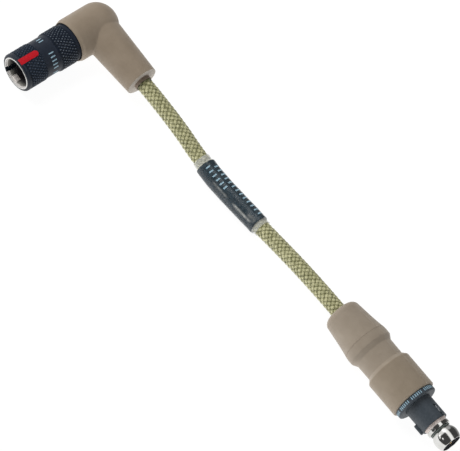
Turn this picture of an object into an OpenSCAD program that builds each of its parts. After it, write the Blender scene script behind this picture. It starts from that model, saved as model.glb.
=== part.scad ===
/* Short adapter cable, lying flat on a table.
   A right-angle push-pull coupler faces -Y, the braided cable runs along +X,
   and a straight keyed plug ends it. +Z is up and the table is at z = 0. */

/* [Cable] */
// Outside diameter of the textile braid
cable_d = 5.7; // [5.5:0.1:5.8]
// Outside diameter of the marker sleeve
marker_d = 7.2; // [7:0.1:7.4]
// Outside diameter of the clear shrink tube where it covers the marker sleeve
shrink_d = 7.6; // [7.5:0.1:7.7]
// Number of insulated wires
wire_count = 6; // [4:1:6]

/* [Coupler] */
// Diameter over the rear knurl of the coupling sleeve
rear_knurl_d = 14.4; // [14.2:0.1:14.6]
// Diameter over the front knurl of the coupling sleeve
front_knurl_d = 14; // [13.8:0.1:14.2]
// Diameter of the smooth band between the knurls
smooth_band_d = 13.5; // [13.4:0.1:13.8]
// Diameter of the bore at the mouth
mouth_bore_d = 11.3; // [11.2:0.1:11.4]
// Distance from the mouth to the centreline of the cable leg
mouth_reach = 34.4; // [34:0.1:36]
// How far the coupling sleeve pulls back
sleeve_travel = 0.8; // [0.4:0.1:0.8]

/* [Elbow] */
// Radius of the moulding along the coupler
dome_r = 7.9; // [7.7:0.1:8.1]
// How far the domed corner stands out behind the moulding
dome_len = 7.3; // [6.5:0.1:8]
// Distance from the corner to the end of the cable leg
leg_len = 25.8; // [25.8:0.1:26.4]
// Radius of the cable leg where the cable leaves it
leg_end_r = 5.9; // [5.6:0.1:6.2]

/* [Plug] */
// Radius of the front bulge of the straight overmold
bulge_r = 8.3; // [8.1:0.1:8.6]
// Radius of the neck between the two bulges
neck_r = 7; // [6.8:0.1:7.2]
// Diameter of the flange
flange_d = 15.1; // [14.6:0.1:15.4]
// Diameter of the keyed barrel
barrel_d = 9.84; // [9.8:0.02:9.9]
// Largest diameter of the snap nose
nose_d = 9.1; // [8.8:0.1:9.3]

/* [Hidden] */
$fn = 96;

// Gaps between fixed pieces, and how far a cut runs past a face
snug = 0.02;
slack = 0.05;
cut = 0.5;

// Cable route from the end of the elbow's leg to the rear of the plug, seen from the corner
route = [
    [25.8, 0, 7.9], [29, 0, 7.85], [34.5, 0, 7.6], [41.5, 0, 7.0], [48.5, 0, 5.95], [54.5, -0.2, 4.95],
    [60.5, -0.4, 4.25], [67, -0.65, 3.9], [75.5, -0.5, 4.05], [85, -0.2, 4.6], [91.5, -0.1, 5.2],
    [98, 0, 5.95], [106, 0, 7.0], [113.5, 0, 7.75], [121, 0, 8.15], [127, 0, 8.3], [131.3, 0, 8.3]
];
cable_sides = 12;
wire_sides = 8;

// Axis heights and places along the cable
coupler_z = dome_r;
dome_back = 1;
plug_x = route[len(route) - 1][0];
plug_z = bulge_r;

// Cable layers, as radii
braid_r = cable_d / 2;
braid_bore = braid_r - 0.35;
jacket_r = braid_bore - 0.08;
jacket_bore = jacket_r - 0.5;
shield_r = jacket_bore - 0.07;
shield_bore = shield_r - 0.25;
wire_r = 0.4;
wire_circle = shield_bore - wire_r - 0.15;
marker_bore = braid_r + 0.13;
shrink_r = shrink_d / 2;
shrink_wall = 0.14;
shrink_end_r = marker_bore + 0.25;
marker_from = 61.9;
marker_to = 90;
shrink_from = 59.4;
shrink_to = 91.9;

// Coupler, measured from its mouth towards the elbow
sleeve_front = 0.1;
smooth_from = 8.8;
rear_knurl_from = 14.6;
rear_knurl_to = 21.8;
skirt_to = 23.8;
skirt_r = 6.85;
guide_r = 6.22;
rib_r = 5.97;
pocket_r = 6.4;
ball_at = 8;
ball_r = 0.85;
ball_circle = 5.2;
ball_out = 0.25;
ball_gap = 0.1;
release_from = 6.2;
ball_count = 3;
ball_turn = 90;
front_shell_r = 6.1;
shell_r = 5.85;
rear_shell_r = 5.4;
shell_shoulder = 5.5;
spring_from = 12.6;
spring_seat = 20.6;
stop_ring_t = 1;
stop_groove_r = 5.2;
barrel_to = 28.2;
lock_bore = 4.6;
insulator_bore = 4.8;
mouth_depth = 5;
mouth_lead = 0.8;
mouth_step = 0.3;
insulator_from = 11.5;
insulator_to = 19.5;
pin_tip = 6.5;
pin_tail = 21.5;
pin_circle = 2.4;
pin_r = 0.4;
ring_bore = 3.6;
ring_t = 0.8;
seal_bore = 3.4;
seal_t = 0.6;
keyway_w = 1.8;
keyway_len = 4;
keyway_turn = 218;
key_lug_turn = 264;
key_lug_len = 1.8;
key_lug_w = 2.6;
key_lug_h = 0.55;
stripe_w = 2.3;
stripe_from = 1.3;
stripe_to = 8.2;
stripe_depth = 0.25;
front_round = 0.8;
spring_wire_r = 0.2;
spring_coil_r = 5.9;
spring_turns = 7;

// Elbow
lip_at = 22.8;
lip_len = 0.8;
lip_r = 7.45;
lip_slope = 0.4;
skirt_pocket_r = 7.1;
skirt_pocket_to = 24.9;
leg_root_r = 7.1;
cable_hole_r = braid_r + slack;
cable_collar_r = cable_hole_r + 0.2;
cable_collar_len = 1.2;
leg_tube_r = 3.6;
leg_tube_to = 15;
elbow_shell_r = 6.3;
elbow_shell_from = 25.2;
elbow_shell_bore = 4.6;
elbow_shell_back = 4.5;
elbow_shell_wall = 1.5;
band_t = 0.55;
band_len = 4;
elbow_band_from = 9;

// Plug, measured from the rear face of its overmold
rear_end_r = 4;
rear_round = 2.6;
rear_profile = [
    [6.7, 4], [7.1, 7.6], [7.55, 11], [8.1, 13.6], [8.18, 14.8], [8.1, 16.6], [7.75, 17.8], [7.3, 18.5]
];
neck_from = 19.3;
neck_to = 24.4;
bulge_foot = [7.25, 25.1];
bulge_from = 26.4;
bulge_round = 0.9;
overmold_to = 38.9;
plug_tube_from = 8;
plug_tube_to = 18.4;
plug_shell_bore = 5.55;
plug_shell_wall = 1.5;
collar_r = 5.5;
collar_from = 31.7;
flange_seat = 32.9;
hub_r = 6.6;
flange_face = 41;
barrel_front = 49.9;
barrel_bore = 4.3;
key_from = 45.9;
key_top = 5.82;
key_w = 1.8;
key_turn = 206;
groove_from = 44.9;
groove_w = 0.9;
groove_depth = 0.5;
groove_turn = 64;
nut_from = 28.5;
nut_bore = 4;
nose_from = 32;
nose_step_r = 4;
nose_step_to = 50.9;
nose_ring_from = 51.15;
nose_ring_to = 52.35;
nose_neck_r = 3.15;
nose_neck_to = 52.97;
nose_flank = [[3.6, 53], [4, 53.6], [4.36, 54.4]];
nose_full_at = 55.4;
nose_crown = [[4.49, 56.3], [4.25, 57.4]];
nose_tip = 58.4;
nose_tip_r = 3.84;
nose_bore = 2.35;
head_bore = 3.5;
head_from = 55.1;
face_recess = 0.45;
seal_wire_r = 0.28;
seal_at = 52.66;
socket_circle = 1.5;
socket_r = 0.42;
socket_hole_r = 0.24;
socket_tail = 26;
socket_depth = 4;
contact_recess = 0.7;
long_contact = 2;
long_recess = 0.15;
block_from = 29;
plug_band_from = 10;

// The origin is under the middle of the two connectors
mid_x = (plug_x + nose_tip - dome_r) / 2;
mid_y = (max(dome_back + dome_len, bulge_r) - mouth_reach) / 2;

black = [0.13, 0.15, 0.17];
tan_rubber = [0.55, 0.5, 0.43];
nickel = [0.78, 0.78, 0.76];
steel = [0.6, 0.61, 0.63];
gold = [0.85, 0.65, 0.25];
olive = [0.58, 0.57, 0.4];

// Puts a piece drawn from the elbow's corner into the part's frame
module place() {
    translate([-mid_x, -mid_y, 0]) children();
}

// Puts a piece drawn along Z from the mouth onto the coupler's axis
module on_coupler() {
    place() translate([0, -mouth_reach, coupler_z]) rotate([-90, 0, 0]) children();
}

// Puts a piece drawn along Z from the overmold's rear face onto the plug's axis
module on_plug() {
    place() translate([plug_x, 0, plug_z]) rotate([0, 90, 0]) children();
}

// Turns a shape drawn on the coupler to an angle from +X towards +Z
module turned(angle) {
    rotate([0, 0, -angle]) children();
}

// Turns a shape drawn on the plug to an angle from +Y towards +Z
module plug_turned(angle) {
    rotate([0, 0, 90 + angle]) children();
}

module tube(r_out, r_in, from, to) {
    rotate_extrude() translate([r_in, from]) square([r_out - r_in, to - from]);
}

module rod(r, from, to) {
    translate([0, 0, from]) cylinder(r = r, h = to - from);
}

// Points of an arc about a centre, from one angle to another
function arc(centre, r, from, to, steps) =
    [for (i = [0 : steps])
        let (a = from + (to - from) * i / steps)
        centre + r * [cos(a), sin(a)]];

function unit(v) = v / norm(v);
function heading(path, i) = unit(path[min(i + 1, len(path) - 1)] - path[max(i - 1, 0)]);
function across(path, i) = unit(cross([0, 0, 1], heading(path, i)));
function above(path, i) = cross(heading(path, i), across(path, i));

function ring(path, i, r, sides) =
    [for (k = [0 : sides - 1])
        path[i] + r * (cos(360 * k / sides) * across(path, i) + sin(360 * k / sides) * above(path, i))];

// Route point at a distance along X from the corner
function route_at(x) =
    let (i = max([for (k = [0 : len(route) - 2]) route[k][0] <= x ? k : 0]))
    let (t = (x - route[i][0]) / (route[i + 1][0] - route[i][0]))
    route[i] + t * (route[i + 1] - route[i]);

// Triangles between two neighbouring rings whose points start at a and b
function wall(a, b, sides) =
    [for (k = [0 : sides - 1]) let (n = (k + 1) % sides)
        each [[a + k, b + k, b + n], [a + k, b + n, a + n]]];

function flipped(faces) = [for (f = faces) [f[2], f[1], f[0]]];

// Solid strand swept along a path
module strand(path, r, sides) {
    points = [for (i = [0 : len(path) - 1]) each ring(path, i, r, sides)];
    end = (len(path) - 1) * sides;
    skin = [for (i = [0 : len(path) - 2]) each wall(i * sides, (i + 1) * sides, sides)];
    first_cap = [for (k = [1 : sides - 2]) [0, k, k + 1]];
    last_cap = [for (k = [1 : sides - 2]) [end, end + k + 1, end + k]];
    polyhedron(points, concat(skin, first_cap, last_cap));
}

// Hollow tube swept along a path, with its radii given at each ring
module hose(path, r_out, r_in, sides) {
    count = len(path);
    inner = count * sides;
    end = (count - 1) * sides;
    points = concat(
        [for (i = [0 : count - 1]) each ring(path, i, r_out[i], sides)],
        [for (i = [0 : count - 1]) each ring(path, i, r_in[i], sides)]
    );
    outside = [for (i = [0 : count - 2]) each wall(i * sides, (i + 1) * sides, sides)];
    inside = [for (i = [0 : count - 2]) each wall(inner + i * sides, inner + (i + 1) * sides, sides)];
    first_cap = wall(inner, 0, sides);
    last_cap = wall(end, inner + end, sides);
    polyhedron(points, concat(outside, flipped(inside), first_cap, last_cap));
}

module even_hose(path, r_out, r_in) {
    hose(path, [for (p = path) r_out], [for (p = path) r_in], cable_sides);
}

// The cable's path from a place in the elbow's leg to a depth in the plug
function cable_path(elbow_x, plug_depth) =
    concat([[elbow_x, 0, coupler_z]], route, [[plug_x + plug_depth, 0, plug_z]]);

// Knurled sleeve with a ramp inside that holds the balls in and a groove that lets them out
module coupling_sleeve() {
    slope = ball_out / sleeve_travel;
    held_r = ball_circle + ball_r + ball_gap;
    free_r = held_r + ball_out;
    ramp_from = ball_at - sleeve_travel;
    ramp_to = ball_at + (held_r - rib_r) / slope;
    guide_to = shell_shoulder + 2 * slack;
    outline = concat(
        [[guide_r, sleeve_front]],
        arc([front_knurl_d / 2 - front_round, sleeve_front + front_round], front_round, -90, 0, 8),
        [
            [front_knurl_d / 2, smooth_from], [smooth_band_d / 2, smooth_from],
            [smooth_band_d / 2, rear_knurl_from], [rear_knurl_d / 2, rear_knurl_from],
            [rear_knurl_d / 2, rear_knurl_to], [skirt_r, rear_knurl_to], [skirt_r, skirt_to],
            [pocket_r, skirt_to], [pocket_r, spring_from], [rib_r, spring_from], [rib_r, ramp_to],
            [free_r, ramp_from], [free_r, release_from], [rib_r, release_from], [rib_r, guide_to],
            [guide_r, guide_to]
        ]
    );
    color(black) on_coupler() difference() {
        rotate_extrude() polygon(outline);
        stripe_bed(stripe_w + 2 * slack, stripe_depth + slack, cut);
    }
}

// Round-ended bar along the top of the front knurl
module stripe_bed(w, depth, above_knurl) {
    turned(90) translate([front_knurl_d / 2 - depth, 0, 0]) rotate([0, 90, 0])
        linear_extrude(depth + above_knurl) union() {
            translate([-stripe_to + w / 2, -w / 2]) square([stripe_to - stripe_from - w / 2, w]);
            translate([-stripe_to + w / 2, 0]) circle(d = w);
        }
}

module alignment_stripe() {
    color([0.78, 0.13, 0.16]) on_coupler() stripe_bed(stripe_w, stripe_depth, 0);
}

module coupler_barrel() {
    mouth_r = mouth_bore_d / 2;
    inner_r = mouth_r - mouth_step;
    shell_to = spring_from - 2 * slack;
    outline = [
        [mouth_r, 0], [front_shell_r, 0], [front_shell_r, shell_shoulder], [shell_r, shell_shoulder],
        [shell_r, shell_to], [rear_shell_r, shell_to], [rear_shell_r, spring_seat],
        [stop_groove_r, spring_seat], [stop_groove_r, spring_seat + stop_ring_t],
        [rear_shell_r, spring_seat + stop_ring_t], [rear_shell_r, barrel_to], [insulator_bore, barrel_to],
        [insulator_bore, insulator_from], [lock_bore, insulator_from], [lock_bore, mouth_depth],
        [inner_r, mouth_depth], [inner_r, mouth_lead], [mouth_r, mouth_lead]
    ];
    color(nickel) on_coupler() union() {
        difference() {
            rotate_extrude() polygon(outline);
            turned(keyway_turn) translate([lock_bore, -keyway_w / 2, -cut])
                cube([front_shell_r - lock_bore + cut, keyway_w, keyway_len + cut]);
            for (i = [0 : ball_count - 1]) turned(ball_turn + 360 * i / ball_count) ball_hole();
        }
        turned(key_lug_turn) translate([inner_r - key_lug_h, -key_lug_w / 2, mouth_lead])
            cube([key_lug_h + mouth_step, key_lug_w, key_lug_len]);
    }
}

// Hole that narrows towards the bore, so that the ball can't fall through
module ball_hole() {
    narrow_r = 0.66;
    wide_r = ball_r + 0.08;
    taper = 0.4;
    translate([0, 0, ball_at]) rotate([0, 90, 0]) {
        rod(narrow_r, lock_bore - cut, lock_bore);
        translate([0, 0, lock_bore]) cylinder(r1 = narrow_r, r2 = wide_r, h = taper);
        rod(wide_r, lock_bore + taper, shell_r + cut);
    }
}

module lock_ball(i) {
    color(steel) on_coupler() turned(ball_turn + 360 * i / ball_count)
        translate([ball_circle, 0, ball_at]) sphere(r = ball_r);
}

module sleeve_spring() {
    steps = 12;
    from = spring_from + spring_wire_r + slack;
    rise = spring_seat - spring_from - 2 * spring_wire_r - 2 * slack;
    coil = [for (i = [0 : spring_turns * steps])
        let (a = 360 * i / steps)
        [spring_coil_r * cos(a), spring_coil_r * sin(a), from + rise * i / (spring_turns * steps)]];
    color(steel) on_coupler() strand(coil, spring_wire_r, 6);
}

module spring_stop_ring() {
    from = spring_seat + snug;
    to = spring_seat + stop_ring_t - snug;
    color(steel) on_coupler() tube(pocket_r - 4 * slack, stop_groove_r + snug, from, to);
}

module pin_insulator() {
    color([0.1, 0.1, 0.11]) on_coupler() difference() {
        rod(insulator_bore - slack, insulator_from + snug, insulator_to);
        on_pin_circle() rod(pin_r + snug, insulator_from - cut, insulator_to + cut);
    }
}

module insulator_ring() {
    color(steel) on_coupler()
        tube(insulator_bore - snug, ring_bore, insulator_to + snug, insulator_to + ring_t);
}

// Repeats a pin's shape round the block
module on_pin_circle() {
    for (i = [0 : wire_count - 1]) turned(180 - 360 * i / wire_count)
        translate([pin_circle, 0, 0]) children();
}

module pin_contacts() {
    round_r = 0.25;
    color(gold) on_coupler() on_pin_circle() rotate_extrude() polygon(concat(
        [[0, pin_tip]],
        arc([pin_r - round_r, pin_tip + round_r], round_r, -90, 0, 6),
        [[pin_r, pin_tail], [0, pin_tail]]
    ));
}

module face_seal() {
    color([0.1, 0.1, 0.1]) on_coupler()
        tube(lock_bore - snug, seal_bore, insulator_from - seal_t, insulator_from);
}

// Corner shell of the elbow, with the tube that the cable's screen is clamped to
module elbow_backshell() {
    back = mouth_reach + elbow_shell_back;
    color(steel) difference() {
        union() {
            on_coupler() rod(elbow_shell_r, elbow_shell_from, back);
            place() translate([0, 0, coupler_z]) rotate([0, 90, 0]) rod(leg_tube_r, 0, leg_tube_to);
        }
        on_coupler() rod(rear_shell_r + slack, elbow_shell_from - cut, barrel_to + slack);
        on_coupler() rod(elbow_shell_bore, barrel_to - cut, back - elbow_shell_wall);
        place() translate([0, 0, coupler_z]) rotate([0, 90, 0]) rod(cable_hole_r, 0, leg_tube_to + cut);
    }
}

module elbow_shield_band() {
    color(steel) place() translate([0, 0, coupler_z]) rotate([0, 90, 0])
        tube(leg_tube_r + band_t, leg_tube_r + snug, elbow_band_from, elbow_band_from + band_len);
}

// Soft right-angle moulding with a domed corner, a tapered leg and a short collar on the cable
module elbow_overmold() {
    dome_at = mouth_reach + dome_back;
    shell_to = mouth_reach + elbow_shell_back + slack;
    lip_to = lip_at + lip_len;
    body = concat(
        [[0, lip_at], [lip_r, lip_at], [lip_r, lip_to], [dome_r, lip_to + lip_slope]],
        [for (a = [0 : 4 : 90]) [dome_r * cos(a), dome_at + dome_len * sin(a)]],
        [[0, dome_at + dome_len]]
    );
    color(tan_rubber) difference() {
        union() {
            on_coupler() rotate_extrude() polygon(body);
            place() translate([0, 0, coupler_z]) rotate([0, 90, 0]) {
                cylinder(r1 = leg_root_r, r2 = leg_end_r, h = leg_len);
                rod(cable_collar_r, leg_len - cable_collar_len, leg_len + cable_collar_len);
            }
        }
        on_coupler() rod(skirt_pocket_r, lip_at - cut, skirt_pocket_to);
        on_coupler() rod(elbow_shell_r + slack, skirt_pocket_to - cut, shell_to);
        place() translate([0, 0, coupler_z]) rotate([0, 90, 0]) {
            rod(leg_tube_r + slack, 0, leg_tube_to + slack);
            rod(leg_tube_r + band_t + slack, elbow_band_from - slack, elbow_band_from + band_len + slack);
            rod(cable_hole_r, leg_tube_to, leg_len + cable_collar_len + cut);
        }
    }
}

module braid_sleeve() {
    path = cable_path(leg_tube_to + 2 * slack, plug_tube_from - 2 * slack);
    color(olive) place() even_hose(path, braid_r, braid_bore);
}

module cable_jacket() {
    strip = 3;
    from = elbow_band_from + strip;
    depth = plug_band_from + band_len - strip;
    color([0.1, 0.1, 0.1]) place() even_hose(cable_path(from, depth), jacket_r, jacket_bore);
}

module shield_braid() {
    color(nickel) place()
        even_hose(cable_path(elbow_band_from, plug_band_from + band_len), shield_r, shield_bore);
}

// Wires from the pins round the corner, along the cable and out to the sockets
module wires() {
    bend = 4;
    pin_end = -mouth_reach + pin_tail + slack;
    socket_end = plug_x + socket_tail - slack;
    straight = 3;
    corner = [for (a = [0 : 30 : 90]) [bend * (1 - cos(a)), bend * (sin(a) - 1), coupler_z]];
    core = concat(
        [[0, pin_end, coupler_z], [0, pin_end + straight, coupler_z]],
        corner,
        [[elbow_band_from, 0, coupler_z]],
        route,
        [[plug_x + plug_tube_to, 0, plug_z], [socket_end - straight, 0, plug_z], [socket_end, 0, plug_z]]
    );
    count = len(core);
    spread = [for (i = [0 : count - 1])
        i == 0 ? pin_circle : i == 1 ? (pin_circle + wire_circle) / 2 :
        i < count - 2 ? wire_circle : socket_circle];
    colours = ["firebrick", "darkgreen", "royalblue", "goldenrod", "whitesmoke", "dimgray"];
    place() for (w = [0 : wire_count - 1]) {
        a = 360 * w / wire_count;
        path = [for (i = [0 : count - 1])
            core[i] + spread[i] * (cos(a) * across(core, i) + sin(a) * above(core, i))];
        color(colours[w]) strand(path, wire_r, wire_sides);
    }
}

module marker_sleeve() {
    steps = 6;
    path = [for (i = [0 : steps]) route_at(marker_from + (marker_to - marker_from) * i / steps)];
    color([0.16, 0.19, 0.22]) place() even_hose(path, marker_d / 2, marker_bore);
}

// Clear tube shrunk over the marker sleeve and down onto the braid at both ends
module clear_shrink() {
    steps = 6;
    reach = 0.4;
    drop = 0.6;
    from = marker_from - reach;
    to = marker_to + reach;
    places = concat(
        [shrink_from, from - drop],
        [for (i = [0 : steps]) from + (to - from) * i / steps],
        [to + drop, shrink_to]
    );
    count = len(places);
    outer = [for (i = [0 : count - 1]) i < 2 || i > count - 3 ? shrink_end_r : shrink_r];
    inner = [for (i = [0 : count - 1]) i < 2 || i > count - 3 ? marker_bore : shrink_r - shrink_wall];
    color([0.8, 0.85, 0.85, 0.4]) place() hose([for (x = places) route_at(x)], outer, inner, cable_sides);
}

// Soft straight moulding with a waist between two bulges
module straight_overmold() {
    edge = 0.4;
    tube_r = leg_tube_r + slack;
    band_r = tube_r + band_t;
    band_to = plug_band_from + band_len + slack;
    hub_hole = hub_r + slack;
    outline = concat(
        [[cable_hole_r, 0], [rear_end_r, 0]],
        arc([rear_end_r, rear_round], rear_round, -90, -20, 6),
        rear_profile,
        [[neck_r, neck_from], [neck_r, neck_to], bulge_foot],
        arc([bulge_r - bulge_round, bulge_from], bulge_round, -60, 0, 5),
        [
            [bulge_r, overmold_to - edge], [bulge_r - edge, overmold_to], [hub_hole, overmold_to],
            [hub_hole, plug_tube_to - slack], [tube_r, plug_tube_to - slack], [tube_r, band_to],
            [band_r, band_to], [band_r, plug_band_from - slack], [tube_r, plug_band_from - slack],
            [tube_r, plug_tube_from - slack], [cable_hole_r, plug_tube_from - slack]
        ]
    );
    color(tan_rubber) on_plug() rotate_extrude() polygon(outline);
}

module plug_backshell() {
    color(steel) on_plug() rotate_extrude() polygon([
        [cable_hole_r, plug_tube_from], [leg_tube_r, plug_tube_from], [leg_tube_r, plug_tube_to],
        [hub_r, plug_tube_to], [hub_r, flange_seat], [plug_shell_bore, flange_seat],
        [plug_shell_bore, plug_tube_to + plug_shell_wall], [cable_hole_r, plug_tube_to + plug_shell_wall]
    ]);
}

module plug_shield_band() {
    color(steel) on_plug()
        tube(leg_tube_r + band_t, leg_tube_r + snug, plug_band_from, plug_band_from + band_len);
}

module plug_flange() {
    edge = 0.3;
    hole = barrel_d / 2 + snug;
    color(black) on_plug() rotate_extrude() polygon([
        [hole, flange_seat + slack], [hub_r, flange_seat + slack], [hub_r, overmold_to + slack],
        [flange_d / 2, overmold_to + slack], [flange_d / 2, flange_face - edge],
        [flange_d / 2 - edge, flange_face], [hole, flange_face]
    ]);
}

module keyed_barrel() {
    edge = 0.25;
    r = barrel_d / 2;
    color(black) on_plug() difference() {
        union() {
            rotate_extrude() polygon([
                [barrel_bore, collar_from], [collar_r, collar_from], [collar_r, flange_seat],
                [r, flange_seat], [r, barrel_front - edge], [r - edge, barrel_front],
                [barrel_bore, barrel_front]
            ]);
            plug_turned(key_turn) translate([r - edge, -key_w / 2, key_from])
                cube([key_top - r + edge, key_w, barrel_front - edge - key_from]);
        }
        plug_turned(groove_turn) translate([r - groove_depth, -groove_w / 2, groove_from])
            cube([groove_depth + cut, groove_w, barrel_front - groove_from + cut]);
    }
}

// Ring that holds the barrel's collar against the flange
module barrel_nut() {
    color(steel) on_plug() tube(collar_r, nut_bore, nut_from, collar_from - slack);
}

// Springy nose with a raised ring, a neck and a bulb
module snap_nose() {
    ring_r = barrel_bore - snug;
    edge = 0.2;
    outline = concat(
        [
            [nose_bore, nose_from], [ring_r, nose_from], [ring_r, barrel_front],
            [nose_step_r, barrel_front], [nose_step_r, nose_step_to], [ring_r, nose_ring_from],
            [ring_r, nose_ring_to - edge], [ring_r - edge, nose_ring_to],
            [nose_neck_r, nose_ring_to], [nose_neck_r, nose_neck_to]
        ],
        nose_flank,
        [[nose_d / 2, nose_full_at]],
        nose_crown,
        [[nose_tip_r, nose_tip], [head_bore, nose_tip], [head_bore, head_from], [nose_bore, head_from]]
    );
    color(nickel) on_plug() rotate_extrude() polygon(outline);
}

module nose_seal() {
    color([0.08, 0.08, 0.08]) on_plug() rotate_extrude()
        translate([nose_neck_r + seal_wire_r + snug, seal_at]) circle(r = seal_wire_r);
}

// Puts a shape at the place of one socket
module at_socket(i) {
    plug_turned(360 * i / wire_count) translate([socket_circle, 0, 0]) children();
}

module socket_insulator() {
    face = nose_tip - face_recess;
    color([0.1, 0.1, 0.11]) on_plug() difference() {
        union() {
            rod(nose_bore - snug, block_from, head_from + slack);
            rod(head_bore - snug, head_from + snug, face);
        }
        for (i = [0 : wire_count - 1]) at_socket(i) rod(socket_r + snug, block_from - cut, face + cut);
    }
}

// Sockets deep in the block, with one long contact that stands out of the face
module socket_contacts() {
    color(gold) on_plug() for (i = [0 : wire_count - 1]) at_socket(i) {
        front = nose_tip - (i == long_contact ? long_recess : face_recess + contact_recess);
        difference() {
            rod(socket_r, socket_tail, front);
            rod(socket_hole_r, front - socket_depth, front + cut);
        }
    }
}

coupling_sleeve();
alignment_stripe();
coupler_barrel();
sleeve_spring();
spring_stop_ring();
lock_ball(0);  // lock_ball_1
lock_ball(1);  // lock_ball_2
lock_ball(2);  // lock_ball_3
pin_insulator();
insulator_ring();
pin_contacts();
face_seal();
elbow_backshell();
elbow_shield_band();
elbow_overmold();
braid_sleeve();
cable_jacket();
shield_braid();
wires();
marker_sleeve();
clear_shrink();
straight_overmold();
plug_backshell();
plug_shield_band();
plug_flange();
keyed_barrel();
barrel_nut();
snap_nose();
nose_seal();
socket_insulator();
socket_contacts();
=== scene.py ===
"""Looks of a short adapter cable: a right-angle push-pull coupler, a braided cable and a keyed plug.

The part's frame is in metres, with +Z up and the table at z = 0. Sizes below are in millimetres, and
Axis.at turns them into places in the frame.
"""
import math

import bpy
from mathutils import Matrix, Vector, noise


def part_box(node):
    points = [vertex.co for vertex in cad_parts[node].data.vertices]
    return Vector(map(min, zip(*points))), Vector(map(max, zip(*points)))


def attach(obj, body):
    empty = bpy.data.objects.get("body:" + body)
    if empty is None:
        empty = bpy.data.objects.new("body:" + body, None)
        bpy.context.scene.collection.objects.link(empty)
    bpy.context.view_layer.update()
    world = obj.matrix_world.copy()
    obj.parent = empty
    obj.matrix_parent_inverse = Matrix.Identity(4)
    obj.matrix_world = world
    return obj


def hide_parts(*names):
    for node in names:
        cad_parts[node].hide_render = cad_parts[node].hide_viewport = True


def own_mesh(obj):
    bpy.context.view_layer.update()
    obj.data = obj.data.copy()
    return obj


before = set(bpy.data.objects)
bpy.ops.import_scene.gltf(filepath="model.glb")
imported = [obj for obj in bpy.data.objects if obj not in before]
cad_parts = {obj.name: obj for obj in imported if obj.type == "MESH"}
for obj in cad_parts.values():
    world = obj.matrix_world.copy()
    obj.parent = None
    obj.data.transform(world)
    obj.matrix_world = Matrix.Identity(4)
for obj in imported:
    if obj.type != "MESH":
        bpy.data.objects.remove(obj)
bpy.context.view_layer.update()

MM = 0.001
UP = Vector((0, 0, 1))


class Axis:
    """A line that pieces are turned on: its start, its direction and where angles 0 and 90 are."""

    def __init__(self, start, along, zero, quarter=UP):
        self.start = Vector(start)
        self.along = Vector(along)
        self.zero = Vector(zero)
        self.quarter = Vector(quarter)

    def out(self, angle):
        turn = math.radians(angle)
        return math.cos(turn) * self.zero + math.sin(turn) * self.quarter

    def at(self, along, radius=0.0, angle=90.0):
        return self.start + MM * (along * self.along + radius * self.out(angle))

    def turning(self, angle):
        """Matrix that turns about this line, from angle 0 towards angle 90."""
        spin = Matrix.Rotation(math.radians(angle), 4, self.zero.cross(self.quarter))
        return Matrix.Translation(self.start) @ spin @ Matrix.Translation(-self.start)

    def side(self, along, angle):
        """Line that leaves this one at a right angle."""
        way = self.out(angle)
        return Axis(self.at(along), way, self.along.cross(way), self.along)


def centre(node):
    low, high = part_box(node)
    return (low + high) / 2


# Places taken from the frame
mouth = Vector((centre("coupling_sleeve").x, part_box("coupler_barrel")[0].y, centre("coupling_sleeve").z))
plug_rear = Vector((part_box("straight_overmold")[0].x, *centre("straight_overmold").yz))
corner = Vector((mouth.x, plug_rear.y, mouth.z))
COLLAR_LEN = 1.2
leg_len = (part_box("elbow_overmold")[1].x - corner.x) / MM - COLLAR_LEN

COUPLER = Axis(mouth, (0, 1, 0), (1, 0, 0))
LEG = Axis(corner, (1, 0, 0), (0, 1, 0))
PLUG = Axis(plug_rear, (1, 0, 0), (0, 1, 0))
STRAIGHT = Axis((0, 0, 0), (1, 0, 0), (0, 1, 0))

# Camera
AIM = Vector((-5.17, 2.91, 8.33)) * MM
CAMERA_AZIMUTH = math.radians(31.743)
CAMERA_ELEVATION = math.radians(59.171)
CAMERA_ROLL = math.radians(21.66)
CAMERA_DISTANCE = 1.4
CAMERA_LENS = 329.4
SENSOR_WIDTH = 36
CLIP = (0.01, 20)


def make_camera():
    bpy.ops.object.camera_add()
    camera = bpy.context.object
    camera.name = "camera"
    camera.data.lens = CAMERA_LENS
    camera.data.sensor_width = SENSOR_WIDTH
    camera.data.clip_start, camera.data.clip_end = CLIP
    level = Vector((math.cos(CAMERA_AZIMUTH), math.sin(CAMERA_AZIMUTH), 0))
    back = Vector((
        math.sin(CAMERA_AZIMUTH) * math.cos(CAMERA_ELEVATION),
        -math.cos(CAMERA_AZIMUTH) * math.cos(CAMERA_ELEVATION),
        math.sin(CAMERA_ELEVATION),
    ))
    rise = back.cross(level)
    right = math.cos(CAMERA_ROLL) * level + math.sin(CAMERA_ROLL) * rise
    place = Matrix((right, back.cross(right), back)).transposed().to_4x4()
    place.translation = AIM + CAMERA_DISTANCE * back
    camera.matrix_world = place
    bpy.context.scene.camera = camera


make_camera()

# Cable route from the end of the elbow's leg to the rear of the plug, in metres from the corner
ROUTE = [
    (0.0258, 0, 0.0079), (0.029, 0, 0.00785), (0.0345, 0, 0.0076), (0.0415, 0, 0.007),
    (0.0485, 0, 0.00595), (0.0545, -0.0002, 0.00495), (0.0605, -0.0004, 0.00425),
    (0.067, -0.00065, 0.0039), (0.0755, -0.0005, 0.00405), (0.085, -0.0002, 0.0046),
    (0.0915, -0.0001, 0.0052), (0.098, 0, 0.00595), (0.106, 0, 0.007), (0.1135, 0, 0.00775),
    (0.121, 0, 0.00815), (0.127, 0, 0.0083), (0.1313, 0, 0.0083),
]
# The line starts inside the leg and ends inside the plug
LINE_STARTS = 15
LINE_ENDS = 8
LINE_STEPS = 12
BRAID_R = 2.85
JACKET_R = 2.12
JACKET_BORE = 1.92
SCREEN_R = 1.85
SCREEN_BORE = 1.6
WIRE_R = 0.4
WIRE_CIRCLE = 1.05


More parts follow.
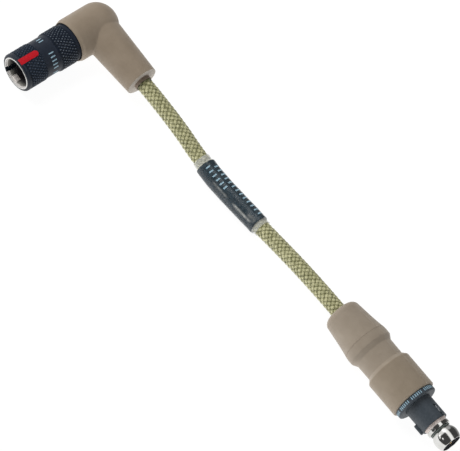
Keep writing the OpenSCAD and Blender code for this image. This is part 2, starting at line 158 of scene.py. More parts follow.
def sweep(start, stop, step):
    """Angles in radians, from limits in degrees."""
    return [math.radians(angle) for angle in range(start, stop, step)]


def smooth_line(points, steps=LINE_STEPS):
    """Curve that passes through every point, with as many steps from each to the next."""
    line = []
    ends = [2 * points[0] - points[1], *points, 2 * points[-1] - points[-2]]
    for a, b, c, d in zip(ends, ends[1:], ends[2:], ends[3:]):
        for k in range(steps):
            t = k / steps
            line.append(0.5 * (2 * b + (c - a) * t + (2 * a - 5 * b + 4 * c - d) * t * t
                               + (3 * b - a - 3 * c + d) * t ** 3))
    return [*line, points[-1]]


route = [Vector((corner.x + x, corner.y + y, z)) for x, y, z in ROUTE]
cable_line = smooth_line([LEG.at(LINE_STARTS), *route, PLUG.at(LINE_ENDS)])


def run_to(x):
    """Distance in millimetres along the cable's line to a place that many millimetres from the corner."""
    gone = 0.0
    for here, there in zip(cable_line, cable_line[1:]):
        if there.x >= corner.x + x * MM:
            part = (corner.x + x * MM - here.x) / (there.x - here.x)
            return (gone + part * (there - here).length) / MM
        gone += (there - here).length
    return gone / MM


def placed(name, data):
    """New object in the scene, made of a mesh or a curve."""
    obj = bpy.data.objects.new(name, data)
    bpy.context.scene.collection.objects.link(obj)
    return obj


def poly_curve(name, *lines):
    """Curve that goes straight from each place of a line to the next."""
    curve = bpy.data.curves.new(name, "CURVE")
    curve.dimensions = "3D"
    for line in lines:
        spline = curve.splines.new("POLY")
        spline.points.add(len(line) - 1)
        for point, place in zip(spline.points, line):
            point.co = (*place, 1)
    return placed(name, curve)


# Guide that straight pieces are bent along. It isn't a piece and is removed once all are bent.
route_guide = poly_curve("cable_route", cable_line)
route_guide.data.twist_mode = "Z_UP"


# Modelling by hand: selection, edit mode and modifiers
def only(obj):
    bpy.ops.object.select_all(action="DESELECT")
    obj.select_set(True)
    bpy.context.view_layer.objects.active = obj


def edit_mode():
    bpy.ops.object.mode_set(mode="EDIT")


def object_mode():
    bpy.ops.object.mode_set(mode="OBJECT")


def added(name):
    """The object that was just added, named, with its place and size moved into its mesh."""
    obj = bpy.context.object
    obj.name = name
    obj.data.name = name
    bpy.ops.object.transform_apply(location=True, rotation=True, scale=True)
    return obj


def pick(obj, kind, chosen):
    """Selects the edges or vertices that a test chooses, and stays in edit mode."""
    only(obj)
    edit_mode()
    bpy.ops.mesh.select_mode(type=kind)
    bpy.ops.mesh.select_all(action="DESELECT")
    object_mode()
    for item in obj.data.edges if kind == "EDGE" else obj.data.vertices:
        item.select = chosen(item)
    edit_mode()


def apply_modifier(obj, kind, **settings):
    only(obj)
    modifier = obj.modifiers.new(kind.lower(), kind)
    for setting, value in settings.items():
        setattr(modifier, setting, value)
    bpy.ops.object.modifier_apply(modifier=modifier.name)


def combine(obj, other, operation):
    """Cuts, joins or keeps the overlap of two closed pieces, and takes the second away."""
    apply_modifier(obj, "BOOLEAN", object=other, operation=operation, solver="MANIFOLD")
    bpy.data.objects.remove(other)
    return obj


def bend_along_cable(obj):
    apply_modifier(obj, "CURVE", object=route_guide, deform_axis="POS_X")


def join(first, *others):
    only(first)
    for other in others:
        other.select_set(True)
    bpy.ops.object.join()
    return first


TOUCHING = 1e-6


def weld():
    """In edit mode: merges doubles, turns the faces outwards and goes back to object mode."""
    bpy.ops.mesh.select_all(action="SELECT")
    bpy.ops.mesh.remove_doubles(threshold=TOUCHING)
    bpy.ops.mesh.normals_make_consistent(inside=False)
    object_mode()


def welded(obj):
    only(obj)
    edit_mode()
    weld()
    return obj


def smooth(obj, degrees=35):
    only(obj)
    bpy.ops.object.shade_smooth_by_angle(angle=math.radians(degrees))


def copy_of(obj, move):
    twin = obj.copy()
    twin.data = obj.data.copy()
    twin.data.transform(move)
    bpy.context.scene.collection.objects.link(twin)
    return twin


TURN_STEPS = 128
SMALL_TURN_STEPS = 32


def draw(name, points):
    """Starts a piece as a line drawn vertex by vertex, and stays in edit mode with all of it selected."""
    bpy.ops.mesh.primitive_plane_add(size=MM, location=points[0])
    obj = added(name)
    edit_mode()
    bpy.ops.mesh.select_mode(type="VERT")
    bpy.ops.mesh.select_all(action="SELECT")
    bpy.ops.mesh.merge(type="CENTER")
    for here, there in zip(points, points[1:]):
        bpy.ops.mesh.extrude_region_move(TRANSFORM_OT_translate={"value": there - here})
    bpy.ops.mesh.select_all(action="SELECT")
    return obj


def turned(name, axis, section, steps=TURN_STEPS):
    """Piece turned on an axis from a section of (along, radius) points."""
    obj = draw(name, [axis.at(along, radius) for along, radius in section])
    bpy.ops.mesh.spin(steps=steps, angle=2 * math.pi, center=axis.start, axis=axis.along)
    weld()
    return obj


def rounded(corners, steps=5):
    """Closed section through (along, radius) corners, with an arc where a fillet is given as well."""
    section = []
    for i, (along, radius, *arc) in enumerate(corners):
        here = Vector((along, radius))
        if not arc:
            section.append(here)
            continue
        fillet = arc[0]
        to_last = (Vector(corners[i - 1][:2]) - here).normalized()
        to_next = (Vector(corners[(i + 1) % len(corners)][:2]) - here).normalized()
        half = to_last.angle(to_next) / 2
        hub = here + (to_last + to_next).normalized() * (fillet / math.sin(half))
        first = (here + to_last * (fillet / math.tan(half)) - hub) / fillet
        last = (here + to_next * (fillet / math.tan(half)) - hub) / fillet
        section += [hub + fillet * first.slerp(last, k / steps) for k in range(steps + 1)]
    return [*section, section[0]]


def smooth_section(points, steps):
    return [tuple(point) for point in smooth_line([Vector(point) for point in points], steps)]


def block(name, axis, along, radius, width, angle, edge):
    """Bar with bevelled edges, from one place along an axis to another and from one radius to another."""
    bpy.ops.mesh.primitive_cube_add(size=1)
    low = Vector((along[0], -width / 2, radius[0])) * MM
    high = Vector((along[1], width / 2, radius[1])) * MM
    bpy.context.object.scale = high - low
    bpy.context.object.location = (low + high) / 2
    obj = added(name)
    edit_mode()
    bpy.ops.mesh.select_all(action="SELECT")
    bpy.ops.mesh.bevel(offset=edge * MM, segments=2, affect="EDGES")
    weld()
    stand = Matrix((axis.along, UP.cross(axis.along), UP)).transposed().to_4x4()
    obj.data.transform(axis.turning(angle - 90) @ Matrix.Translation(axis.start) @ stand)
    return obj


def mark(name, axis, along, radius, angles, steps=6):
    """Thin printed bar on a round surface: a small section spun part of the way round."""
    start, end = angles
    corners = [(along[0], radius[0]), (along[1], radius[0]), (along[1], radius[1]), (along[0], radius[1])]
    obj = draw(name, [axis.at(place, r, start) for place, r in corners])
    bpy.ops.mesh.edge_face_add()
    turn = math.radians(end - start)
    bpy.ops.mesh.spin(steps=steps, angle=turn, center=axis.start, axis=axis.quarter.cross(axis.zero))
    weld()
    return obj


def dress(obj, *materials):
    """Gives a piece its materials, in place of any slots that cutting left behind."""
    if materials:
        obj.data.materials.clear()
    for material in materials:
        obj.data.materials.append(material)


def paint(obj, materials, choice):
    """Gives each face of a piece the material whose place in the list the choice says."""
    dress(obj, *materials)
    for face in obj.data.polygons:
        face.material_index = int(choice(face))


def finish_piece(obj, slot, replaced, *materials, body="cable_assembly"):
    """Dresses a finished piece and hangs it on its body."""
    dress(obj, *materials)
    smooth(obj)
    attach(obj, body)
    if replaced:
        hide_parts(*replaced)
    return obj


# Finishes
def srgb(red, green, blue):
    """Linear colour of an 8-bit screen colour."""
    parts = [value / 255 for value in (red, green, blue)]
    return (*(p / 12.92 if p <= 0.04045 else ((p + 0.055) / 1.055) ** 2.4 for p in parts), 1)


class Nodes:
    """The nodes of a material or of the world."""

    def __init__(self, owner):
        owner.use_nodes = True
        self.nodes = owner.node_tree.nodes
        self.links = owner.node_tree.links

    def node(self, kind, **settings):
        made = self.nodes.new(kind)
        for setting, value in settings.items():
            setattr(made, setting, value)
        return made

    def spread(self, value, low, high, to_low=0.0, to_high=1.0):
        made = self.node("ShaderNodeMapRange", interpolation_type="SMOOTHSTEP")
        limits = {"Value": value, "From Min": low, "From Max": high, "To Min": to_low, "To Max": to_high}
        for socket, limit in limits.items():
            self.feed(made.inputs[socket], limit)
        return made.outputs["Result"]

    def feed(self, socket, value):
        """Links an output to a socket, or sets the socket to a number."""
        if isinstance(value, (int, float)):
            socket.default_value = value
        else:
            self.links.new(value, socket)

    def maths(self, operation, a, b):
        """Sum, product or the like of two outputs, or of an output and a number."""
        made = self.node("ShaderNodeMath", operation=operation)
        self.feed(made.inputs[0], a)
        self.feed(made.inputs[1], b)
        return made.outputs["Value"]

    def mix(self, factor, a, b):
        made = self.node("ShaderNodeMix", data_type="FLOAT")
        for socket, value in {"Factor": factor, "A": a, "B": b}.items():
            self.feed(made.inputs[socket], value)
        return made.outputs["Result"]

    def parts(self, vector):
        """The x, y and z of a vector, by name."""
        made = self.node("ShaderNodeSeparateXYZ")
        self.links.new(vector, made.inputs["Vector"])
        return made.outputs


# Noise lies between these values nearly everywhere
MOST_OF_NOISE = (0.3, 0.7)


class Finish(Nodes):
    """A material being built round one shader, with patterns on Object coordinates."""

    def __init__(self, name, **sockets):
        self.material = bpy.data.materials.new(name)
        super().__init__(self.material)
        self.shader = self.nodes["Principled BSDF"]
        self.last_bump = None
        for socket, value in sockets.items():
            self.shader.inputs[socket.replace("_", " ")].default_value = value

    def place(self, source="Object", stretch=(1, 1, 1), turn=(0, 0, 0)):
        """Coordinates in millimetres, or the piece's own UV map, stretched and turned."""
        where = self.node("ShaderNodeTexCoord")
        mapping = self.node("ShaderNodeMapping")
        size = 1 if source == "UV" else 1 / MM
        mapping.inputs["Scale"].default_value = [size * s for s in stretch]
        mapping.inputs["Rotation"].default_value = [math.radians(a) for a in turn]
        self.links.new(where.outputs[source], mapping.inputs["Vector"])
        return mapping.outputs["Vector"]

    def noise(self, scale, detail=3.0, rough=0.55, **where):
        made = self.node("ShaderNodeTexNoise")
        made.inputs["Scale"].default_value = scale
        made.inputs["Detail"].default_value = detail
        made.inputs["Roughness"].default_value = rough
        self.links.new(self.place(**where), made.inputs["Vector"])
        return made.outputs["Fac"]

    def wave(self, scale, distortion=0.0, direction="Y", **where):
        made = self.node("ShaderNodeTexWave", bands_direction=direction)
        made.inputs["Scale"].default_value = scale
        made.inputs["Distortion"].default_value = distortion
        self.links.new(self.place(**where), made.inputs["Vector"])
        return made.outputs["Fac"]

    def attribute(self, name):
        return self.node("ShaderNodeAttribute", attribute_name=name).outputs["Fac"]

    def colour(self, value, *stops):
        """Base colour from a pattern: each stop is a place from 0 to 1 and an 8-bit screen colour."""
        ramp = self.node("ShaderNodeValToRGB")
        elements = ramp.color_ramp.elements
        while len(elements) < len(stops):
            elements.new(0.5)
        for element, (place, shade) in zip(elements, stops):
            element.position = place
            element.color = srgb(*shade)
        self.links.new(value, ramp.inputs["Fac"])
        self.links.new(ramp.outputs["Color"], self.shader.inputs["Base Color"])

    def roughness(self, value, low, high):
        self.links.new(self.spread(value, *MOST_OF_NOISE, low, high), self.shader.inputs["Roughness"])

    def bump(self, value, height, strength=1.0):
        """Relief of that many millimetres, on top of any relief made before."""
        made = self.node("ShaderNodeBump")
        made.inputs["Strength"].default_value = strength
        made.inputs["Distance"].default_value = height * MM
        self.links.new(value, made.inputs["Height"])
        if self.last_bump:
            self.links.new(self.last_bump, made.inputs["Normal"])
        self.last_bump = made.outputs["Normal"]
        self.links.new(self.last_bump, self.shader.inputs["Normal"])


def black_sleeve_finish(name, dark, light, rough, metallic=0.2):
    """Blue-black plated metal with a fine satin grain."""
    finish = Finish(name, Metallic=metallic, IOR=1.42)
    finish.colour(finish.noise(1.3, 4), (0.35, dark), (0.65, light))
    grain = finish.noise(9, 2)
    finish.roughness(grain, rough - 0.06, rough + 0.06)
    finish.bump(grain, 0.01, 0.6)
    return finish.material


def worn_glint_wall_finish():
    """Wall of the plug's groove, bright in spots: partly black plating rubbed bright by the mating key,
    partly painted glints.
    """
    finish = Finish("worn_glint_groove_wall", Metallic=0.3)
    spots = finish.noise(1.1, 2)
    finish.colour(spots, (0.5, (58, 65, 71)), (0.6, (225, 228, 232)))
    finish.roughness(finish.noise(9, 2), 0.3, 0.42)
    return finish.material


def tan_rubber_finish(name, dark, light):
    """Matt moulded rubber, a little mottled, with a fine spark-eroded grain and a dusty sheen."""
    finish = Finish(name, IOR=1.45, Sheen_Weight=0.15, Sheen_Roughness=0.4)
    finish.colour(finish.noise(0.22, 5, 0.6), (0.3, dark), (0.7, light))
    finish.roughness(finish.noise(0.8, 3), 0.6, 0.72)
    finish.bump(finish.noise(7, 3), 0.02, 0.55)
    finish.bump(finish.noise(1.1, 3), 0.05, 0.3)
    return finish.material


# Painted shadow on the braid where it comes out of the elbow's collar: how dark it is there, and over how
# many millimetres
BRAID_SHADOW = 0.66
BRAID_SHADOW_LEN = 1.6


def braid_finish():
    """Olive nylon yarn: fine filaments along each strand, with painted shade: paler on top of each strand
    and darker where it dives under.

    It gets a painted shadow just before it goes into the elbow's collar.
    """
    finish = Finish("olive_braid", Sheen_Weight=0.2, Sheen_Roughness=0.4, IOR=1.5)
    filaments = finish.wave(5.5, 0.5, "Y", source="UV", stretch=(0.08, 1, 1))
    mottle = finish.spread(finish.noise(0.9, 4), *MOST_OF_NOISE, 0.86, 1.06)
    # Painted shade: the colour follows the strand's rise, darker where it dives under, times a random
    # mottle
    height = finish.maths("MULTIPLY", finish.attribute("rise"), mottle)
    run = finish.parts(finish.place(source="UV"))["X"]
    collar_end = run_to(leg_len + COLLAR_LEN)
    # Painted shadow of the leg and collar over the braid's first millimetres past the collar
    shade = finish.spread(run, collar_end, collar_end + BRAID_SHADOW_LEN, BRAID_SHADOW, 1)
    height = finish.maths("MULTIPLY", height, shade)
    finish.colour(height, (0.48, (78, 77, 44)), (0.74, (136, 135, 95)), (0.97, (200, 197, 154)))
    finish.roughness(finish.noise(3, 2), 0.32, 0.44)
    finish.bump(filaments, 0.035, 0.7)
    finish.bump(finish.noise(14, 2), 0.012, 0.5)
    return finish.material


def jacket_finish():
    """Dark olive jacket that shows in the gaps of the braid."""
    finish = Finish("jacket_dark")
    finish.colour(finish.noise(2, 3), (0.3, (84, 84, 50)), (0.7, (100, 100, 62)))
    finish.roughness(finish.noise(4, 2), 0.6, 0.75)
    return finish.material


def nickel_finish(name, low=0.1, high=0.2):
    """Bright nickel plate with faint turning lines."""
    finish = Finish(name, Metallic=1.0)
    finish.colour(finish.noise(0.5, 3), (0.3, (212, 212, 208)), (0.7, (226, 226, 224)))
    fine = finish.noise(2.2, 4)
    finish.roughness(fine, low, high)
    finish.bump(fine, 0.004, 0.25)
    return finish.material


# Depth in millimetres over which the bore's painted shade goes from pale to dark
BORE_SHADE_DEPTH = 5


def bore_finish():
    """Nickel of the mouth's inside with painted shade: pale at the rim and darker the deeper it goes."""
    finish = Finish("bore_nickel", Specular_IOR_Level=0.3)
    front = mouth.y / MM
    deep = finish.spread(finish.parts(finish.place())["Y"], front, front + BORE_SHADE_DEPTH)
    finish.colour(
        deep, (0.05, (226, 223, 220)), (0.1, (158, 155, 149)), (0.28, (126, 125, 119)), (0.5, (78, 77, 77)),
        (0.8, (46, 44, 49)),
    )
    finish.roughness(finish.noise(2.5, 3), 0.5, 0.62)
    return finish.material


def steel_finish(name, dark, light, metallic=1.0, low=0.25, high=0.4):
    """Plain metal of an inner piece, with a fine grain."""
    finish = Finish(name, Metallic=metallic)
    grain = finish.noise(3, 4)
    finish.colour(grain, (0.3, dark), (0.7, light))
    finish.roughness(grain, low, high)
    finish.bump(grain, 0.005, 0.3)
    return finish.material


def plastic_finish(name, dark, light, low=0.35, high=0.5, shine=0.5):
    """Moulded plastic or rubber with a faint grain."""
    finish = Finish(name, IOR=1.4, Specular_IOR_Level=shine)
    finish.colour(finish.noise(1.5, 3), (0.3, dark), (0.7, light))
    fine = finish.noise(6, 2)
    finish.roughness(fine, low, high)
    finish.bump(fine, 0.008, 0.4)
    return finish.material


def marker_finish():
    """Glossy blue-black shrink tube with shallow ripples."""
    finish = Finish("marker_gloss", IOR=1.5)
    finish.colour(finish.noise(0.5, 3), (0.3, (18, 37, 48)), (0.7, (27, 48, 60)))
    finish.roughness(finish.noise(0.7, 2), 0.2, 0.3)
    finish.bump(finish.noise(0.4, 1, stretch=(0.3, 1, 1)), 0.06, 0.3)
    return finish.material


def clear_finish(name, alpha_low, alpha_high):
    """Clear shrink tube, milky where it is thick, with painted highlight streaks laid on as pale haze."""
    finish = Finish(name, Roughness=0.12, IOR=1.45)
    cloud = finish.noise(1.2, 3)
    finish.colour(cloud, (0.3, (210, 211, 206)), (0.7, (229, 230, 226)))
    haze = finish.spread(cloud, *MOST_OF_NOISE, alpha_low, alpha_high)
    # Alpha: milky haze from the cloud, plus the painted highlight streaks
    finish.links.new(finish.maths("ADD", haze, finish.attribute("painted_streak")), finish.shader.inputs["Alpha"])
    finish.bump(finish.noise(0.5, 1, stretch=(0.3, 1, 1)), 0.06, 0.3)
    return finish.material


def print_finish():
    """White marking ink, thin in places."""
    finish = Finish("white_print", IOR=1.45)
    finish.colour(finish.noise(5, 3), (0.32, (110, 145, 165)), (0.6, (170, 200, 214)))
    finish.roughness(finish.noise(8, 2), 0.45, 0.6)
    return finish.material


SLEEVE_BLACK = black_sleeve_finish("sleeve_black", (15, 24, 37), (23, 33, 47), 0.46, 0.1)
FRONT_KNURL_FLANK = black_sleeve_finish("front_knurl_flank", (24, 33, 46), (32, 43, 57), 0.46, 0.1)
# Paler knurl tips: partly plating worn off the points, partly painted glints, brighter on the rear knurl
FRONT_KNURL_WORN_GLINT_TIP = black_sleeve_finish("front_knurl_worn_glint_tip", (40, 51, 66), (84, 98, 116), 0.36, 0.4)
REAR_KNURL_WORN_GLINT_TIP = black_sleeve_finish("rear_knurl_worn_glint_tip", (66, 76, 88), (134, 144, 154), 0.24, 0.5)
WORN_GLINT_WALL = worn_glint_wall_finish()
PLUG_BLACK = black_sleeve_finish("plug_black", (58, 65, 71), (67, 74, 81), 0.52, 0.0)
RED = plastic_finish("red_fill", (176, 14, 28), (190, 20, 34), 0.5, 0.65)
NICKEL = nickel_finish("bright_nickel", 0.22, 0.32)
NOSE_NICKEL = nickel_finish("nose_nickel", 0.06, 0.14)
STRAIGHT_TAN = tan_rubber_finish("straight_tan", (144, 132, 117), (153, 141, 126))
# Darker copy of the straight moulding's rubber for its front bulge: painted shade
FRONT_SHADE_TAN = tan_rubber_finish("straight_front_shade_tan", (138, 125, 108), (147, 134, 117))
ELBOW_TAN = tan_rubber_finish("elbow_tan", (138, 124, 107), (147, 133, 116))
# Paler copy of the elbow's rubber for the leg's end face: a painted sheen
END_SHEEN_TAN = tan_rubber_finish("elbow_end_sheen_tan", (160, 151, 141), (170, 162, 152))
# Darker copy for the collar round the cable, in the leg's shadow: painted shade
COLLAR_SHADE_TAN = tan_rubber_finish("collar_shade_tan", (124, 108, 94), (136, 120, 105))
BRAID = braid_finish()
JACKET = jacket_finish()
MARKER = marker_finish()
CLEAR_BODY = clear_finish("clear_shrink", 0.01, 0.03)
CLEAR_END = clear_finish("milky_shrink_end", 0.22, 0.36)
PRINT = print_finish()
GOLD = steel_finish("contact_gold", (214, 168, 82), (236, 196, 110), 1.0, 0.15, 0.3)
SATIN = steel_finish("satin_nickel", (220, 208, 202), (232, 222, 217), 0.5, 0.45, 0.6)
STEEL = steel_finish("spring_steel", (150, 152, 156), (178, 180, 184))
BACKSHELL = steel_finish("backshell_metal", (156, 156, 152), (186, 186, 182))
SCREEN = steel_finish("screen_wire", (160, 158, 150), (196, 194, 186))
BORE = bore_finish()
# Near-white, mostly matt copy of the nickel for the lug in the mouth: a painted highlight
LUG_HIGHLIGHT = steel_finish("lug_highlight_nickel", (236, 228, 222), (246, 240, 235), 0.2, 0.35, 0.5)
INSULATOR = plastic_finish("insulator_black", (20, 21, 26), (30, 31, 37), 0.7, 0.85, 0.1)
SEAL = plastic_finish("seal_rubber", (18, 18, 19), (28, 28, 30), 0.45, 0.6)
GREY_SEAL = plastic_finish("grey_seal_rubber", (98, 106, 102), (112, 120, 116), 0.45, 0.6)
WIRE = plastic_finish("wire_insulation", (120, 116, 108), (150, 146, 138))

# Braid
STRANDS_EACH_WAY = 8
BRAID_LEAD = 13.5
STRAND_SIDES = 8
STRAND_HALF_WIDTH = 0.68
STRAND_HALF_THICK = 0.33
STRAND_WAVE = 0.23
STRAND_SLACK = 0.3
STRAND_WANDER = 0.22
# How fast each varies along the cable and from strand to strand, and its place in the noise
SLACK_NOISE = (0.9, 5.3, 0)
WANDER_NOISE = (0.45, 3.7, 9)
STRAND_MID_R = BRAID_R - STRAND_HALF_THICK - STRAND_WAVE
BRAID_STEP = BRAID_LEAD / STRANDS_EACH_WAY / 8
BRAID_STARTS = leg_len - 1.15
BRAID_ENDS = 0.9


def varied(run, other, noise_place):
    """Noise that varies along the cable and with one other value."""
    by_run, by_other, start = noise_place
    return noise.noise(Vector((run * by_run, by_other * other, start)))


def braid_strands(name, start, end):
    """Flat strands wound both ways round a straight line, each over one and under the next."""
    rings = round((end - start) / BRAID_STEP)
    slant = math.atan(2 * math.pi * STRAND_MID_R / BRAID_LEAD)
    points, faces, places = [], [], []
    for strand in range(2 * STRANDS_EACH_WAY):
        way = 1 if strand < STRANDS_EACH_WAY else -1
        first = len(points)
        for ring in range(rings + 1):
            run = start + (end - start) * ring / rings
            turn = 2 * math.pi * (way * run / BRAID_LEAD + strand / STRANDS_EACH_WAY)
            lift = way * STRAND_WAVE * math.cos(2 * math.pi * STRANDS_EACH_WAY * run / BRAID_LEAD)
            turn += STRAND_WANDER * varied(run, strand, WANDER_NOISE) / STRAND_MID_R
            half_width = STRAND_HALF_WIDTH * (1 + STRAND_SLACK * varied(run, strand, SLACK_NOISE))
            out = Vector((0, math.cos(turn), math.sin(turn)))
            tangent = Vector((0, -math.sin(turn), math.cos(turn)))
            side = Vector((-way * math.sin(slant), 0, 0)) + math.cos(slant) * tangent
            middle = Vector((run, 0, 0)) + (STRAND_MID_R + lift) * out
            for k in range(STRAND_SIDES):
                a = 2 * math.pi * k / STRAND_SIDES
                offset = half_width * math.cos(a) * side + STRAND_HALF_THICK * math.sin(a) * out
                points.append((middle + offset) * MM)
                places.append((run, k / STRAND_SIDES))
        for ring in range(rings):
            here = first + ring * STRAND_SIDES
            for k in range(STRAND_SIDES):
                n = (k + 1) % STRAND_SIDES
                faces.append((here + k, here + STRAND_SIDES + k, here + STRAND_SIDES + n, here + n))
        faces.append([first + k for k in range(STRAND_SIDES)])
        faces.append([first + rings * STRAND_SIDES + k for k in reversed(range(STRAND_SIDES))])
    mesh = bpy.data.meshes.new(name)
    mesh.from_pydata(points, [], faces)
    layer = mesh.uv_layers.new(name="yarn")
    for loop, uv in zip(mesh.loops, layer.uv):
        uv.vector = places[loop.vertex_index]
    low = STRAND_MID_R - STRAND_WAVE - STRAND_HALF_THICK
    # Each point's height in the braid, which the braid's finish turns into painted shade
    rise = mesh.attributes.new("rise", "FLOAT", "POINT")
    rise.data.foreach_set("value", [(point.yz.length / MM - low) / (BRAID_R - low) for point in points])
    return welded(placed(name, mesh))


TUBE_RING_STEP = 1.0


def stations(start, end, step):
    """Even places from start to end, no further apart than the step."""
    count = math.ceil((end - start) / step)
    return [start + (end - start) * i / count for i in range(count + 1)]


def cable_tube(name, radius, bore):
    """Tube along the whole of the cable's line, with rings close enough together to bend."""
    runs = stations(0, run_to((PLUG.at(LINE_ENDS).x - corner.x) / MM), TUBE_RING_STEP)
    outside = [(run, radius) for run in runs]
    inside = [(run, bore) for run in reversed(runs)]
    tube = turned(name, STRAIGHT, [*outside, *inside, outside[0]], SMALL_TURN_STEPS)
    bend_along_cable(tube)
    return tube


def make_cable():
    start = run_to(BRAID_STARTS)
    end = run_to((plug_rear.x - corner.x) / MM + BRAID_ENDS)
    braid = braid_strands("cable_braid", start, end)
    bend_along_cable(braid)
    finish_piece(braid, "olive_braid", ["braid_sleeve"], BRAID)
    jacket = cable_tube("cable_jacket_tube", JACKET_R, JACKET_BORE)
    finish_piece(jacket, "cable_jacket", ["cable_jacket"], JACKET)
    screen = cable_tube("screen_tube", SCREEN_R, SCREEN_BORE)
    finish_piece(screen, "screen_braid", ["shield_braid"], SCREEN)
    path = [p for p in cable_line if LEG.at(BRAID_STARTS).x <= p.x <= PLUG.at(BRAID_ENDS).x]
    return braid, path


cable_braid, braid_path = make_cable()

# Marker sleeve and the clear tube shrunk over it
MARKER_R = 3.6
MARKER_BORE = 2.98
MARKER_SHOULDER = 0.45
MARKER_STEPS = 96
MARKER_RING_STEP = 0.3
SHRINK_GAP = 0.04
SHRINK_WALL = 0.12
SHRINK_END_R = 3.04
SHRINK_DROP = 0.5
MARKER_ROUND = 0.1
# Ripples all along the sleeve and creases near its plug end: their height, and how fast they vary along it,
# round it and where they lie in the noise
RIPPLE = 0.05
RIPPLE_NOISE = (0.25, 2, 0)
CREASE = 0.16
CREASE_NOISE = (0.9, 3, 7)
CREASE_LEN = 5
marker_from, marker_to = run_to(61.9), run_to(90)
shrink_from, shrink_to = run_to(59.4), run_to(91.9)


def noise_round(run, angle, noise_place):
    by_run, by_turn, start = noise_place
    return noise.noise(Vector((run * by_run + start, by_turn * math.cos(angle), by_turn * math.sin(angle))))


def wrinkle(run, angle):
    """How far the sleeve's skin stands in or out."""
    near_end = min(1.0, max(0.0, 1 - (marker_to - run) / CREASE_LEN))
    soft = noise_round(run, angle, RIPPLE_NOISE)
    tight = noise_round(run, angle, CREASE_NOISE)
    return RIPPLE * soft + CREASE * near_end * tight


def wrinkled(obj):
    """Moves a straight piece's vertices in or out by the wrinkles."""
    for vertex in obj.data.vertices:
        run = vertex.co.x / MM
        out = Vector((0, vertex.co.y, vertex.co.z)).normalized()
        vertex.co += out * MM * wrinkle(run, math.atan2(vertex.co.z, vertex.co.y))


def make_marker():
    start, end = marker_from, marker_to
    outside = [
        (start + MARKER_SHOULDER * (1 - math.sin(a)), MARKER_R - MARKER_SHOULDER * (1 - math.cos(a)))
        for a in sweep(90, -1, -15)
    ]
    outside += [(run, MARKER_R) for run in stations(start + 0.7, end - 0.3, MARKER_RING_STEP)]
    outside += [(end, MARKER_R - MARKER_ROUND), (end, MARKER_BORE)]
    inside = [(run, MARKER_BORE) for run in reversed(stations(start, end - 1, TUBE_RING_STEP))]
    marker = turned("marker_tube", STRAIGHT, [*outside, *inside, outside[0]], MARKER_STEPS)
    wrinkled(marker)
    bend_along_cable(marker)
    return finish_piece(marker, "marker_sleeve", ["marker_sleeve"], MARKER)


# Painted highlight streaks along the tube, laid on as pale haze: from, to, angle and half its width in
# degrees, and how pale it is
PAINTED_STREAKS = [
    (run_to(68.5), run_to(77), 139, 9, 0.18), (run_to(79), run_to(88.8), 141, 10, 0.4),
    (run_to(85.5), run_to(89.8), 120, 14, 0.14),
]
# How strong a streak is on the whole, how much that varies, and how fast along the tube and round it
STREAK_STRENGTH = 0.75
STREAK_STRENGTH_SPREAD = 0.6
STREAK_STRENGTH_NOISE = (0.8, 4, 3)
STREAK_ENDS = 3


def painted_streak(run, angle):
    """How pale the painted highlight streaks make the tube at a place."""
    pale = 0.0
    streak_strength = STREAK_STRENGTH + STREAK_STRENGTH_SPREAD * varied(run, angle, STREAK_STRENGTH_NOISE)
    for start, end, middle, half, level in PAINTED_STREAKS:
        along = 1 - abs(2 * (run - start) / (end - start) - 1)
        aside = 1 - abs((math.degrees(angle) - middle) / half)
        if along > 0 and aside > 0:
            pale = max(pale, level * min(1, STREAK_ENDS * along) * aside * streak_strength)
    return pale


def make_clear_shrink():
    start, end = marker_from, marker_to
    over = MARKER_R + SHRINK_GAP
    line = [(run, SHRINK_END_R) for run in stations(shrink_from, start - SHRINK_DROP, MARKER_RING_STEP)]
    line += [(start - 0.25, SHRINK_END_R + 0.12), (start, over - 0.3), (start + 0.2, over - 0.06)]
    line += [(run, over) for run in stations(start + 0.5, end - 0.1, MARKER_RING_STEP)]
    line += [(end + 0.15, over - 0.12), (end + 0.3, SHRINK_END_R + 0.14)]
    line += [(run, SHRINK_END_R) for run in stations(end + SHRINK_DROP, shrink_to, MARKER_RING_STEP)]
    outside = [(run, radius + SHRINK_WALL) for run, radius in line]
    shrink = turned("clear_tube", STRAIGHT, [*line, *reversed(outside), line[0]], MARKER_STEPS)
    paint(shrink, [CLEAR_BODY, CLEAR_END], lambda face: not start - 0.1 < face.center.x / MM < end + 0.1)
    places = [vertex.co / MM for vertex in shrink.data.vertices]
    # Painted highlight streaks, kept on the tube's points for its finish
    streak_layer = shrink.data.attributes.new("painted_streak", "FLOAT", "POINT")
    streak_layer.data.foreach_set("value", [painted_streak(place.x, math.atan2(place.z, place.y)) for place in places])
    wrinkled(shrink)
    bend_along_cable(shrink)
    return finish_piece(shrink, "clear_shrink", ["clear_shrink"])


# Printed bars: how far they stand out and reach in, and the two rows on the marker sleeve
PRINT_PROUD = 0.03
PRINT_ROOT = 0.15
LONG_ROW = {"from": 64.8, "step": 1.9, "count": 13, "angles": (42, 78)}
SHORT_ROW = {"from": 63.6, "step": 1.9, "count": 6, "angles": (96, 122)}
BAR_W = 0.55


def make_marker_print():
    """Two rows of plain white bars on the marker sleeve."""
    bars = []
    for row in (LONG_ROW, SHORT_ROW):
        run = run_to(row["from"])
        radius = (MARKER_R - PRINT_ROOT, MARKER_R + PRINT_PROUD)
        bar = mark("marker_print", STRAIGHT, (run, run + BAR_W), radius, row["angles"])
        bars.append(bar)
        for i in range(1, row["count"]):
            bars.append(copy_of(bar, Matrix.Translation((i * row["step"] * MM, 0, 0))))
    rows = join(*bars)
    wrinkled(rows)
    bend_along_cable(rows)
    return finish_piece(rows, "marker_sleeve", [], PRINT)


marker_pieces = [make_marker(), make_clear_shrink(), make_marker_print()]

